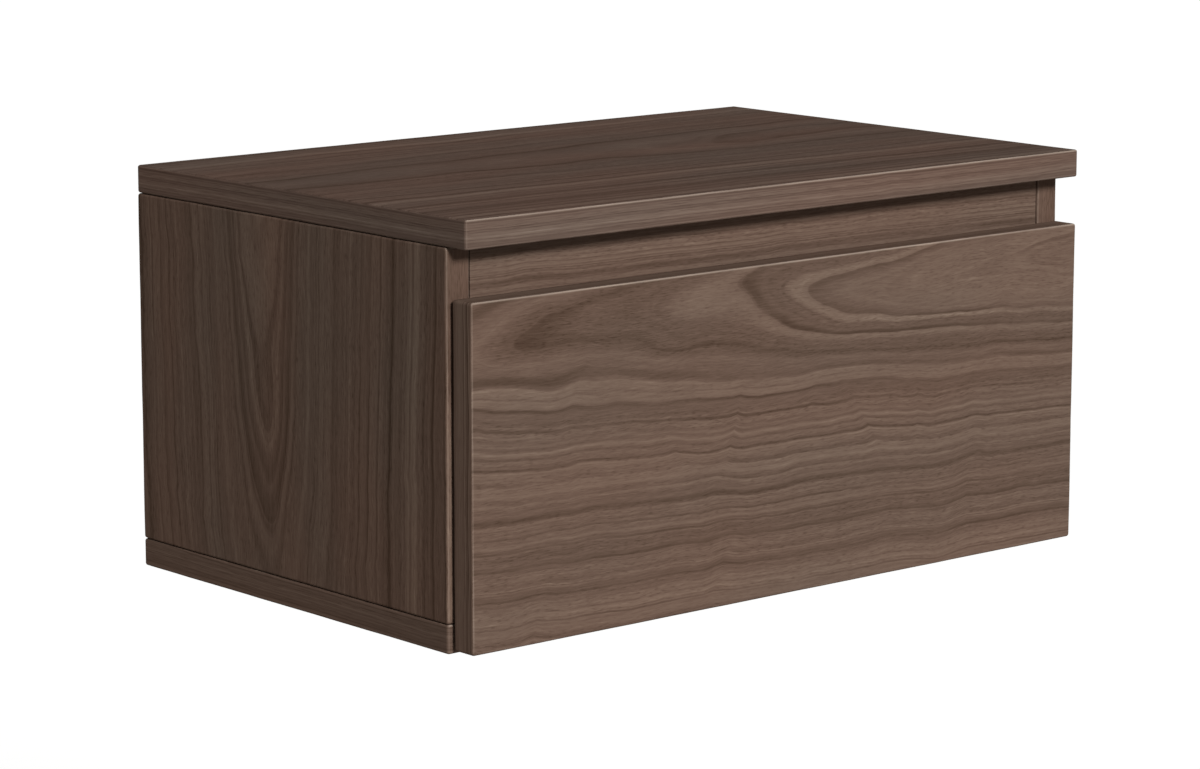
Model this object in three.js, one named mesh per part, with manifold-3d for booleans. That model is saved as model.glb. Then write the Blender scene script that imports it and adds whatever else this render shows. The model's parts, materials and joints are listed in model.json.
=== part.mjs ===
// A floating nightstand with one drawer. A walnut case hangs on the wall by a bevelled cleat,
// and a birch drawer box with a walnut front runs on two side-mounted ball-bearing runners.
//
// Millimetres, +Z up. The wall is the plane Y = 0 and the drawer front faces -Y, so +X is on the
// right of someone who faces the drawer. Pieces are laid out from the middle of the case's foot,
// and the whole is then lowered so that the origin is the middle of the wall cleat's back face.

import * as THREE from 'three';
import { mergeVertices } from 'three/addons/utils/BufferGeometryUtils.js';
import { RoundedBoxGeometry } from 'three/addons/geometries/RoundedBoxGeometry.js';
import Module from 'manifold-3d';

const wasm = await Module();
wasm.setup();

// Fits
const seat = 0.3; // gap between two pieces that rest on each other
const overrun = 2; // how far a cut reaches past the face it starts from
const weldDistance = 0.0002; // corners nearer than this are one corner

// Case
const caseWidth = 520;
const caseDepth = 320; // from the wall to the front edges of the sides and bottom
const caseHeight = 264;
const boardThickness = 18;
const boardArris = 1.5; // rounding of the walnut boards' edges
const topOverhang = 19; // of the top past the sides' front edges

// Front rail, between the sides under the top
const railHeight = 45;
const railThickness = 18;
const railSetback = 1; // behind the sides' front edges

// Back panel, grooved into the four boards
const backThickness = 6;
const backRecess = 18; // from the wall to the back panel, which leaves room for the cleats
const backGrooveDepth = 6;

// Cleats, one on the case and one on the wall, hooked together by a slope of 45 degrees
const cleatHeight = 60; // of each at the wall
const cleatEndPlay = 12; // by which the wall cleat is shorter at each end than the case's inside
const cleatSlope = Math.PI / 4;
const wallHoleCount = 4;
const wallHoleInset = 35; // of the outer holes from the wall cleat's ends
const wallHoleRadius = 2.75;
const wallHoleSinkRadius = 5.5;

// Drawer front
const frontThickness = 18;
const frontGap = 2.5; // between the drawer front and the case, which the bumpers keep
const frontSideReveal = 2.4; // by which it is narrower than the case at each end
const frontFootReveal = 2.3; // of the case's underside below it
const fingerRecess = 31; // open height between it and the top

// Drawer box
const boxWall = 12;
const boxLift = 12; // above the case's bottom board
const boxHeadroom = 10.7; // below the front rail
const boxBackroom = 28.2; // between its back and the case's back panel
const boxArris = 0.8;
const boxBottomThickness = 6;
const boxBottomRise = 10; // of the bottom above the walls' lower edges
const boxGrooveDepth = 6;

// Runners: three nested channels of bent sheet, with a cage of balls between each two
const runnerSpace = 13; // between the case's side and the drawer box
const runnerShortfall = 20; // by which it is shorter than the drawer box
const runnerHeight = 45;
const runnerSetback = 3; // behind the sides' front edges
const runnerDrop = 5; // of its middle below the drawer box's middle
const sheet = 1.2;
const caseFlange = 9.5; // reach of the case member's flanges from its back
const middleFlange = 8.4;
const drawerFlange = 7.4;
const lipHeight = 1; // of the bent edge that keeps the balls in
const ballRadius = 1.6;
const ballPlay = 0.2; // of a ball between its two races
const ballCount = 5;
const ballPitch = 22;
const cageLength = 100;
const cageWeb = 0.6;
const cageArm = 0.8;
const caseScrewInset = 35; // of the screws from the case member's ends
const drawerScrewInset = 60;
const accessRadius = 5; // holes in the middle member to reach the case member's screws

// Dowels
const dowelRadius = 4;
const dowelLength = 30;
const dowelShortEnd = 12; // depth in the board whose face it enters
const dowelChamfer = 0.8;
const dowelRearInset = 55; // of the corner dowels from the wall
const dowelFrontInset = 50; // and from the sides' front edges

// Cam fittings, one in the middle of each corner joint
const camRadius = 7.5;
const camLength = 12.5;
const camInset = 24; // of the cam's centre from the joint
const camKeyRadius = 3;
const camKeyDepth = 3;
const boltHeadRadius = 3.2;
const boltNeckRadius = 1.6;
const boltNeckEnd = 6; // from the head's centre to the end of the neck
const boltShankRadius = 3.5;
const boltShoulder = 1;
const boltThreadRadius = 2.9;
const boltThreadLength = 11;
const boltPoint = 1.2;

// Screws
const screwRadius = 2;
const screwPoint = 3;
const sunkHeadRadius = 4;
const runnerScrewLength = 12;
const panHeadRadius = 4;
const panHeadHeight = 2.2;
const panCrownShare = 0.7; // of the head's radius that is left at its flat top
const panRimShare = 0.5; // of the head's height that is upright
const frontScrewLength = 26;
const frontScrewInset = 35; // from the box's upper and lower edges
const frontScrewSideInset = 57; // from the inner faces of the box's sides
const cleatScrewLength = 20;
const cleatScrewInset = 122; // from the inner faces of the case's sides

// Bumpers on the back of the drawer front
const bumperRadius = 4;
const bumperCrownShare = 0.75;
const bumperRimShare = 0.6;
const bumperDrop = 15; // below the drawer front's top edge

// Counts of facets
const arrisSteps = 2;
const plainArrisSteps = 1;
const roundSides = 10;
const camSides = 20;
const pocketRings = 6;
const keySides = 6;
const ballSides = 6;
const ballRings = 4;

// Places that several pieces share
const halfWidth = caseWidth / 2;
const insideHalf = halfWidth - boardThickness;
const insideFoot = boardThickness;
const insideTop = caseHeight - boardThickness;
const sideMiddle = insideHalf + boardThickness / 2;
const boxHalf = insideHalf - runnerSpace;
const boxInsideHalf = boxHalf - boxWall;
const boxFoot = insideFoot + boxLift;
const frontBack = -caseDepth - frontGap; // the plane of the drawer front's back
const boxFront = frontBack + seat;
const boxInsideFront = boxFront + boxWall;
const boxBack = -backRecess - backThickness - boxBackroom;
const boxInsideBack = boxBack - boxWall;
const boxTop = insideTop - seat - railHeight - boxHeadroom;
const boxMiddle = (boxFoot + boxTop) / 2;
const frontTop = insideTop - fingerRecess;
const railFront = -caseDepth + railSetback;
const cleatFront = -backRecess + seat;
const cleatRise = -cleatFront * Math.tan(cleatSlope);
const caseCleatFoot = insideTop - seat - cleatHeight;
const cleatDrop = seat / Math.cos(cleatSlope); // upright gap that leaves the seat's gap on the slope
const wallCleatTop = caseCleatFoot - cleatDrop;
const wallCleatFoot = wallCleatTop - cleatHeight;
const wallCleatMiddle = (wallCleatTop + wallCleatFoot) / 2;
const runnerFront = -caseDepth + runnerSetback;
const runnerLength = boxBack - boxFront - runnerShortfall;
const runnerMiddle = runnerFront + runnerLength / 2;
const runnerCentreHeight = boxMiddle - runnerDrop;

const left = -1;
const right = 1;
const sideNames = new Map([[left, 'left'], [right, 'right']]);
const latheAxis = new THREE.Vector3(0, 1, 0);
const towardsWall = new THREE.Vector3(0, 1, 0);
const towardsRoom = new THREE.Vector3(0, -1, 0);
const upwards = new THREE.Vector3(0, 0, 1);

// Finishes

function finish(color, roughness, metalness) {
  return new THREE.MeshStandardMaterial({ color, roughness, metalness });
}

const walnut = finish('#6f5b4f', 0.5, 0);
const birch = finish('#d9c29a', 0.55, 0);
const plywood = finish('#c9ad7f', 0.65, 0);
const beech = finish('#c79a68', 0.7, 0);
const runnerSteel = finish('#b4b8bb', 0.35, 1);
const cageSteel = finish('#8d9194', 0.4, 1);
const camZinc = finish('#9a9c9e', 0.45, 1);
const screwSteel = finish('#c2c4c2', 0.35, 1);
const bumperRubber = finish('#cfcfca', 0.4, 0);

// Solids

function toSolid(geometry) {
  const bare = new THREE.BufferGeometry();
  bare.setAttribute('position', geometry.getAttribute('position'));
  bare.setIndex(geometry.index);
  const merged = mergeVertices(bare, weldDistance);
  const corners = merged.index.array;
  const triangles = [];
  for (let i = 0; i < corners.length; i += 3) {
    const [a, b, c] = corners.slice(i, i + 3);
    if (a !== b && b !== c && c !== a) {
      triangles.push(a, b, c);
    }
  }
  return new wasm.Manifold(new wasm.Mesh({
    numProp: 3,
    vertProperties: new Float32Array(merged.getAttribute('position').array),
    triVerts: new Uint32Array(triangles),
  }));
}

function toGeometry(solid) {
  const { vertProperties, triVerts } = solid.getMesh();
  const geometry = new THREE.BufferGeometry();
  geometry.setAttribute('position', new THREE.BufferAttribute(vertProperties, 3));
  geometry.setIndex(new THREE.BufferAttribute(triVerts, 1));
  geometry.computeVertexNormals();
  return geometry;
}

// A named piece from a geometry about its own middle, set at a place in the case. The cutters
// are geometries in the case's own places.
function piece(name, material, geometry, place, cutters = []) {
  let solid = toSolid(geometry);
  for (const cutter of cutters) {
    solid = solid.subtract(toSolid(cutter.clone().translate(-place.x, -place.y, -place.z)));
  }
  const mesh = new THREE.Mesh(toGeometry(solid), material.clone());
  mesh.name = name;
  mesh.position.copy(place);
  return mesh;
}

// A board between two opposite corners, with its edges rounded.
function board(name, material, low, high, cutters, arris, steps) {
  const size = new THREE.Vector3().subVectors(high, low);
  const middle = new THREE.Vector3().addVectors(low, high).divideScalar(2);
  const geometry = new RoundedBoxGeometry(size.x, size.y, size.z, steps, arris);
  return piece(name, material, geometry, middle, cutters);
}

function walnutBoard(name, low, high, cutters = []) {
  return board(name, walnut, low, high, cutters, boardArris, arrisSteps);
}

function plainBoard(name, material, low, high, cutters = []) {
  return board(name, material, low, high, cutters, boxArris, plainArrisSteps);
}

function at(x, y, z) {
  return new THREE.Vector3(x, y, z);
}

function blockCutter(low, high) {
  const size = new THREE.Vector3().subVectors(high, low);
  const middle = new THREE.Vector3().addVectors(low, high).divideScalar(2);
  return new THREE.BoxGeometry(size.x, size.y, size.z).translate(middle.x, middle.y, middle.z);
}

// A round shape from radius and height pairs, listed from its foot to its head.
function turned(profile, sides = roundSides) {
  const points = profile.map(([radius, height]) => new THREE.Vector2(radius, height));
  return new THREE.LatheGeometry(points, sides);
}

// A round piece and the bore that takes it, both turned to point the same way.
function fastener(name, material, profile, boreProfile, place, direction) {
  const turn = new THREE.Quaternion().setFromUnitVectors(latheAxis, direction);
  const mesh = piece(name, material, turned(profile), place);
  mesh.quaternion.copy(turn);
  const bore = turned(boreProfile).applyQuaternion(turn).translate(place.x, place.y, place.z);
  return { mesh, bore };
}

// A channel or strip of one section, drawn with x across and y up, centred along Y.
function drawn(outline, length) {
  const shape = new THREE.Shape(outline.map(([x, y]) => new THREE.Vector2(x, y)));
  const geometry = new THREE.ExtrudeGeometry(shape, { depth: length, bevelEnabled: false });
  return geometry.rotateX(Math.PI / 2).translate(0, length / 2, 0);
}

// Fasteners

// A dowel across a joint. It points into the board whose face it enters, and stands deeper in
// the other board's edge.
function dowel(name, joint, direction) {
  const half = dowelLength / 2;
  const profile = [
    [0, -half],
    [dowelRadius - dowelChamfer, -half],
    [dowelRadius, -half + dowelChamfer],
    [dowelRadius, half - dowelChamfer],
    [dowelRadius - dowelChamfer, half],
    [0, half],
  ];
  const bore = [
    [0, -half - seat],
    [dowelRadius + seat, -half - seat],
    [dowelRadius + seat, half + seat],
    [0, half + seat],
  ];
  const middle = joint.clone().addScaledVector(direction, dowelShortEnd - half);
  return fastener(name, beech, profile, bore, middle, direction);
}

// A pan-head screw. Its place is the seat of its head, and it points the way it is driven.
function panScrew(name, length, place, direction) {
  const profile = [
    [0, -panHeadHeight],
    [panHeadRadius * panCrownShare, -panHeadHeight],
    [panHeadRadius, -panHeadHeight * panRimShare],
    [panHeadRadius, 0],
    [screwRadius, 0],
    [screwRadius, length - screwPoint],
    [0, length],
  ];
  const bore = [
    [0, -overrun],
    [screwRadius + seat, -overrun],
    [screwRadius + seat, length + seat],
    [0, length + seat],
  ];
  return fastener(name, screwSteel, profile, bore, place, direction);
}

// A countersunk screw. Its place is the middle of its flat head.
function sunkScrew(name, length, place, direction) {
  const headDepth = sunkHeadRadius - screwRadius;
  const profile = [
    [0, 0],
    [sunkHeadRadius, 0],
    [screwRadius, headDepth],
    [screwRadius, length - screwPoint],
    [0, length],
  ];
  const bore = [
    [0, -overrun],
    [sunkHeadRadius + overrun + seat, -overrun],
    [screwRadius + seat, headDepth],
    [screwRadius + seat, length + seat],
    [0, length + seat],
  ];
  return fastener(name, screwSteel, profile, bore, place, direction);
}

// The headed bolt of a cam fitting. Its place is the middle of its ball head, and it points
// through the joint into the board that it is screwed into.
function camBolt(name, place, direction) {
  const ballShare = Math.SQRT1_2;
  const shankEnd = camInset - seat;
  const threadEnd = camInset + boltThreadLength;
  const profile = [
    [0, -boltHeadRadius],
    [boltHeadRadius * ballShare, -boltHeadRadius * ballShare],
    [boltHeadRadius, 0],
    [boltHeadRadius * ballShare, boltHeadRadius * ballShare],
    [boltNeckRadius, boltHeadRadius],
    [boltNeckRadius, boltNeckEnd],
    [boltShankRadius, boltNeckEnd + boltShoulder],
    [boltShankRadius, shankEnd],
    [boltThreadRadius, shankEnd],
    [boltThreadRadius, threadEnd - boltPoint],
    [boltThreadRadius - boltPoint, threadEnd],
    [0, threadEnd],
  ];
  const bore = [
    [0, 0],
    [boltShankRadius + seat, 0],
    [boltShankRadius + seat, camInset],
    [boltThreadRadius + seat, camInset],
    [boltThreadRadius + seat, threadEnd + seat],
    [0, threadEnd + seat],
  ];
  return fastener(name, screwSteel, profile, bore, place, direction);
}

// A cam, flush with the inner face of a side. The bolt's head lies in its pocket, the neck in a
// narrow slot that faces the joint, and the wide slot is the one the head came in by.
function cam(name, side, centre, direction) {
  const place = at(side * (insideHalf + camLength / 2), centre.y, centre.z);
  const pocketRadius = boltHeadRadius + seat;
  const neckSlot = boltNeckRadius + seat;
  const reach = camRadius + overrun;
  const pocket = new THREE.SphereGeometry(pocketRadius, roundSides, pocketRings)
    .translate(centre.x, centre.y, centre.z);
  const narrow = new THREE.BoxGeometry(neckSlot * 2, neckSlot * 2, reach)
    .translate(centre.x, centre.y, centre.z + direction.z * reach / 2);
  const wide = new THREE.BoxGeometry(pocketRadius * 2, reach, pocketRadius * 2)
    .translate(centre.x, centre.y + reach / 2, centre.z);
  const shoulder = new THREE.CylinderGeometry(
    boltShankRadius + seat, boltShankRadius + seat, reach, roundSides,
  ).rotateX(Math.PI / 2)
    .translate(centre.x, centre.y, centre.z + direction.z * (boltNeckEnd - seat + reach / 2));
  const key = new THREE.CylinderGeometry(camKeyRadius, camKeyRadius, camKeyDepth + overrun, keySides)
    .rotateZ(Math.PI / 2)
    .translate(side * (insideHalf + (camKeyDepth - overrun) / 2), centre.y, centre.z);
  const body = new THREE.CylinderGeometry(camRadius, camRadius, camLength, camSides).rotateZ(Math.PI / 2);
  const mesh = piece(name, camZinc, body, place, [pocket, narrow, wide, shoulder, key]);
  const boreLength = camLength + seat + overrun;
  const bore = new THREE.CylinderGeometry(camRadius + seat, camRadius + seat, boreLength, camSides)
    .rotateZ(Math.PI / 2)
    .translate(side * (insideHalf - overrun + boreLength / 2), centre.y, centre.z);
  return { mesh, bore };
}

// The corner joints: at each of the four, two dowels and a cam fitting between them.
function cornerJoints() {
  const fittings = [];
  const levels = [
    { level: 'top', height: insideTop, direction: upwards },
    { level: 'bottom', height: insideFoot, direction: upwards.clone().negate() },
  ];
  const dowelPlaces = new Map([['front', -caseDepth + dowelFrontInset], ['rear', -dowelRearInset]]);
  for (const { level, height, direction } of levels) {
    for (const [side, sideName] of sideNames) {
      for (const [end, y] of dowelPlaces) {
        const joint = at(side * sideMiddle, y, height);
        fittings.push(dowel(`dowel_${level}_${sideName}_${end}`, joint, direction));
      }
      const centre = at(side * sideMiddle, -caseDepth / 2, height - direction.z * camInset);
      fittings.push(cam(`cam_${level}_${sideName}`, side, centre, direction));
      fittings.push(camBolt(`cam_bolt_${level}_${sideName}`, centre, direction));
    }
  }
  return fittings;
}

// Dowels from the ends of the front rail and of the case cleat into the sides.
function crossDowels() {
  const railJoint = { y: railFront + railThickness / 2, z: insideTop - seat - railHeight / 2 };
  const cleatJoint = { y: cleatFront / 2, z: insideTop - seat - (cleatHeight - cleatRise) / 2 };
  const dowels = [];
  for (const [side, sideName] of sideNames) {
    const outwards = at(side, 0, 0);
    for (const [owner, joint] of [['rail', railJoint], ['cleat', cleatJoint]]) {
      const place = at(side * insideHalf, joint.y, joint.z);
      dowels.push(dowel(`${owner}_dowel_${sideName}`, place, outwards));
    }
  }
  return dowels;
}

// Screws through the back panel into the case cleat, driven from inside the case.
function cleatScrews() {
  const height = insideTop - seat - (cleatHeight - cleatRise) / 2;
  return [...sideNames].map(([side, sideName]) => panScrew(
    `cleat_screw_${sideName}`,
    cleatScrewLength,
    at(side * (insideHalf - cleatScrewInset), -backRecess - backThickness, height),
    towardsWall,
  ));
}

// Case

// A bar of one section, drawn with Y across and Z up, and centred along X.
function crossways(outline, halfLength) {
  const shape = new THREE.Shape(outline.map(([y, z]) => new THREE.Vector2(y, z)));
  const geometry = new THREE.ExtrudeGeometry(shape, { depth: halfLength * 2, bevelEnabled: false });
  const turn = new THREE.Matrix4().makeBasis(towardsWall, upwards, at(1, 0, 0));
  return geometry.applyMatrix4(turn).translate(-halfLength, 0, 0);
}

function caseCleat(cutters) {
  const top = insideTop - seat;
  const outline = [
    [cleatFront, caseCleatFoot + cleatRise],
    [0, caseCleatFoot],
    [0, top],
    [cleatFront, top],
  ];
  return piece('case_cleat', plywood, crossways(outline, insideHalf - seat), at(0, 0, 0), cutters);
}

function wallCleat() {
  const outline = [
    [cleatFront, wallCleatFoot],
    [0, wallCleatFoot],
    [0, wallCleatTop],
    [cleatFront, wallCleatTop + cleatRise],
  ];
  const holeProfile = [
    [0, cleatFront - overrun],
    [wallHoleSinkRadius + overrun, cleatFront - overrun],
    [wallHoleRadius, cleatFront + wallHoleSinkRadius - wallHoleRadius],
    [wallHoleRadius, overrun],
    [0, overrun],
  ];
  const halfLength = insideHalf - cleatEndPlay;
  const outerHole = halfLength - wallHoleInset;
  const holes = [];
  for (let i = 0; i < wallHoleCount; i += 1) {
    const share = i / (wallHoleCount - 1);
    holes.push(turned(holeProfile).translate((share * 2 - 1) * outerHole, 0, wallCleatMiddle));
  }
  return piece('wall_cleat', plywood, crossways(outline, halfLength), at(0, 0, 0), holes);
}

// The pocket that the back panel stands in, cut into all four boards around it.
function backPocket() {
  const reach = insideHalf + backGrooveDepth;
  return blockCutter(
    at(-reach, -backRecess - backThickness - seat, insideFoot - backGrooveDepth),
    at(reach, -backRecess + seat, insideTop + backGrooveDepth),
  );
}

function buildCase(fittings, backBores, runnerBores) {
  const group = new THREE.Group();
  const bores = [...fittings.map((fitting) => fitting.bore), backPocket()];
  group.add(walnutBoard(
    'top_panel',
    at(-halfWidth, -caseDepth - topOverhang, insideTop),
    at(halfWidth, 0, caseHeight),
    bores,
  ));
  group.add(walnutBoard(
    'bottom_panel',
    at(-halfWidth, -caseDepth, 0),
    at(halfWidth, 0, insideFoot),
    bores,
  ));
  for (const [side, sideName] of sideNames) {
    const edges = [side * insideHalf, side * halfWidth].sort((a, b) => a - b);
    group.add(walnutBoard(
      `${sideName}_side_panel`,
      at(edges[0], -caseDepth, insideFoot + seat),
      at(edges[1], 0, insideTop - seat),
      [...bores, ...runnerBores],
    ));
  }
  group.add(walnutBoard(
    'front_rail',
    at(-insideHalf + seat, railFront, insideTop - seat - railHeight),
    at(insideHalf - seat, railFront + railThickness, insideTop - seat),
    bores,
  ));
  const backHalf = insideHalf + backGrooveDepth - seat;
  group.add(plainBoard(
    'back_panel',
    birch,
    at(-backHalf, -backRecess - backThickness, insideFoot - backGrooveDepth + seat),
    at(backHalf, -backRecess, insideTop + backGrooveDepth - seat),
    backBores,
  ));
  group.add(caseCleat([...bores, ...backBores]));
  group.add(wallCleat());
  return group;
}

// Drawer

// The pocket that the drawer's bottom lies in, cut into the four walls around it.
function bottomPocket() {
  const foot = boxFoot + boxBottomRise;
  return blockCutter(
    at(-boxInsideHalf - boxGrooveDepth, boxInsideFront - boxGrooveDepth, foot - seat),
    at(boxInsideHalf + boxGrooveDepth, boxInsideBack + boxGrooveDepth, foot + boxBottomThickness + seat),
  );
}

function frontScrews() {
  const heights = new Map([
    ['lower', boxFoot + frontScrewInset],
    ['upper', boxTop - frontScrewInset],
  ]);
  const screws = [];
  for (const [side, sideName] of sideNames) {
    for (const [level, height] of heights) {
      const place = at(side * (boxInsideHalf - frontScrewSideInset), boxInsideFront, height);
      screws.push(panScrew(`front_screw_${sideName}_${level}`, frontScrewLength, place, towardsRoom));
    }
  }
  return screws;
}

function bumpers() {
  const height = frontGap - seat * 2;
  const profile = [
    [0, 0],
    [bumperRadius, 0],
    [bumperRadius, height * bumperRimShare],
    [bumperRadius * bumperCrownShare, height],
    [0, height],
  ];
  return [...sideNames].map(([side, sideName]) => {
    const mesh = piece(
      `bumper_${sideName}`,
      bumperRubber,
      turned(profile),
      at(side * sideMiddle, frontBack + seat, frontTop - bumperDrop),
    );
    mesh.quaternion.setFromUnitVectors(latheAxis, towardsWall);
    return mesh;
  });
}

function buildDrawer(runnerBores) {
  const group = new THREE.Group();
  const screws = frontScrews();
  const frontBores = screws.map((screw) => screw.bore);
  const pocket = bottomPocket();
  group.add(walnutBoard(
    'drawer_front',
    at(-halfWidth + frontSideReveal, frontBack - frontThickness, frontFootReveal),
    at(halfWidth - frontSideReveal, frontBack, frontTop),
    frontBores,
  ));
  for (const [side, sideName] of sideNames) {
    const edges = [side * boxInsideHalf, side * boxHalf].sort((a, b) => a - b);
    group.add(plainBoard(
      `drawer_${sideName}_side`,
      birch,
      at(edges[0], boxFront, boxFoot),
      at(edges[1], boxBack, boxTop),
      [pocket, ...runnerBores],
    ));
  }
  const crossHalf = boxInsideHalf - seat;
  group.add(plainBoard(
    'drawer_inner_front',
    birch,
    at(-crossHalf, boxFront, boxFoot),
    at(crossHalf, boxInsideFront, boxTop),
    [pocket, ...frontBores],
  ));
  group.add(plainBoard(
    'drawer_back',
    birch,
    at(-crossHalf, boxInsideBack, boxFoot),
    at(crossHalf, boxBack, boxTop),
    [pocket],
  ));
  const bottomHalf = boxInsideHalf + boxGrooveDepth - seat;
  group.add(plainBoard(
    'drawer_bottom',
    birch,
    at(-bottomHalf, boxInsideFront - boxGrooveDepth + seat, boxFoot + boxBottomRise),
    at(bottomHalf, boxInsideBack + boxGrooveDepth - seat, boxFoot + boxBottomRise + boxBottomThickness),
  ));
  group.add(...screws.map((screw) => screw.mesh), ...bumpers());
  return group;
}

// Runners. Their sections are drawn from the back of the case member, with the distance towards
// the drawer across and the height from the runner's middle up.

const runnerThickness = runnerSpace - seat * 2;
const raceSpace = (ballRadius + ballPlay) * 2;
const caseRace = runnerHeight / 2 - sheet; // height of each race's inner face
const middleOuter = caseRace - raceSpace;
const middleRace = middleOuter - sheet;
const drawerOuter = middleRace - raceSpace;
const outerCageBack = sheet + seat;
const middleBack = outerCageBack + cageWeb + seat;
const innerCageBack = middleBack + sheet + seat;
const middleFront = middleBack + middleFlange;

// A channel that opens towards the drawer, with the edges of its flanges bent in.
function lippedChannel(back, front, half) {
  return [
    [back, -half],
    [front, -half],
    [front, -half + sheet + lipHeight],
    [front - sheet, -half + sheet + lipHeight],
    [front - sheet, -half + sheet],
    [back + sheet, -half + sheet],
    [back + sheet, half - sheet],
    [front - sheet, half - sheet],
    [front - sheet, half - sheet - lipHeight],
    [front, half - sheet - lipHeight],
    [front, half],
    [back, half],
  ];
}

// A plain channel or cage: a web with two arms, of the thicknesses given.
function plainChannel(webFace, webBack, armTip, half, arm) {
  return [
    [webFace, -half],
    [armTip, -half],
    [armTip, -half + arm],
    [webBack, -half + arm],
    [webBack, half - arm],
    [armTip, half - arm],
    [armTip, half],
    [webFace, half],
  ];
}

// Sections are turned to the left or the right runner by the side's own sign.
function facing(side, outline) {
  return outline.map(([across, height]) => [-side * across, height]);
}

// A ball cage: a strip whose arms lie in the middle of the two races, with the balls in them.
function cage(name, side, place, back, ballAcross, race) {
  const ballHeight = race - raceSpace / 2;
  const outline = plainChannel(
    back, back + cageWeb, ballAcross + ballRadius, ballHeight + cageArm / 2, cageArm,
  );
  let solid = toSolid(drawn(facing(side, outline), cageLength));
  for (let i = 0; i < ballCount; i += 1) {
    const y = (i - (ballCount - 1) / 2) * ballPitch;
    for (const z of [-ballHeight, ballHeight]) {
      const ball = new THREE.SphereGeometry(ballRadius, ballSides, ballRings);
      solid = solid.add(toSolid(ball.translate(-side * ballAcross, y, z)));
    }
  }
  return piece(name, cageSteel, toGeometry(solid), place);
}

// The screws of one runner: two through the case member and two through the drawer member.
function runnerScrews(side, sideName) {
  const outwards = at(side, 0, 0);
  const inwards = at(-side, 0, 0);
  const caseFace = side * (insideHalf - seat - sheet);
  const drawerFace = side * (boxHalf + seat + sheet);
  const make = (owner, face, inset, direction) => ['front', 'rear'].map((end) => {
    const y = end === 'front' ? runnerFront + inset : runnerFront + runnerLength - inset;
    const name = `${sideName}_runner_${owner}_screw_${end}`;
    return sunkScrew(name, runnerScrewLength, at(face, y, runnerCentreHeight), direction);
  });
  return {
    caseScrews: make('case', caseFace, caseScrewInset, outwards),
    drawerScrews: make('drawer', drawerFace, drawerScrewInset, inwards),
  };
}

// One runner: three channels, two cages and four screws.
function runner(side, sideName, caseScrews, drawerScrews) {
  const group = new THREE.Group();
  const place = at(side * (insideHalf - seat), runnerMiddle, runnerCentreHeight);
  const access = caseScrews.map((screw) => new THREE.CylinderGeometry(
    accessRadius, accessRadius, runnerThickness, roundSides,
  ).rotateZ(Math.PI / 2).translate(place.x - side * middleBack, screw.mesh.position.y, runnerCentreHeight));
  const sections = {
    case: lippedChannel(0, caseFlange, runnerHeight / 2),
    middle: lippedChannel(middleBack, middleFront, middleOuter),
    drawer: plainChannel(
      runnerThickness, runnerThickness - sheet, runnerThickness - drawerFlange, drawerOuter, sheet,
    ),
  };
  const cutters = {
    case: caseScrews.map((screw) => screw.bore),
    middle: access,
    drawer: drawerScrews.map((screw) => screw.bore),
  };
  for (const [member, section] of Object.entries(sections)) {
    const geometry = drawn(facing(side, section), runnerLength);
    group.add(piece(
      `${sideName}_runner_${member}_member`, runnerSteel, geometry, place, cutters[member],
    ));
  }
  const outerBall = caseFlange - sheet - seat - ballRadius;
  const innerBall = middleFront - sheet - seat - ballRadius;
  group.add(cage(`${sideName}_runner_outer_cage`, side, place, outerCageBack, outerBall, caseRace));
  group.add(cage(`${sideName}_runner_inner_cage`, side, place, innerCageBack, innerBall, middleRace));
  group.add(...caseScrews.map((screw) => screw.mesh), ...drawerScrews.map((screw) => screw.mesh));
  return group;
}

// The whole nightstand

const nightstand = new THREE.Group();
const caseFittings = [...cornerJoints(), ...crossDowels()];
const backScrews = cleatScrews();
const runnerFittings = [...sideNames].map(([side, sideName]) => ({
  side,
  sideName,
  ...runnerScrews(side, sideName),
}));
const caseBores = runnerFittings.flatMap((fitting) => fitting.caseScrews.map((screw) => screw.bore));
const drawerBores = runnerFittings.flatMap((fitting) => fitting.drawerScrews.map((screw) => screw.bore));

nightstand.add(buildCase(caseFittings, backScrews.map((screw) => screw.bore), caseBores));
nightstand.add(...caseFittings.map((fitting) => fitting.mesh), ...backScrews.map((screw) => screw.mesh));
nightstand.add(buildDrawer(drawerBores));
for (const { side, sideName, caseScrews, drawerScrews } of runnerFittings) {
  nightstand.add(runner(side, sideName, caseScrews, drawerScrews));
}
nightstand.position.z = -wallCleatMiddle;

export default nightstand;
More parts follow.
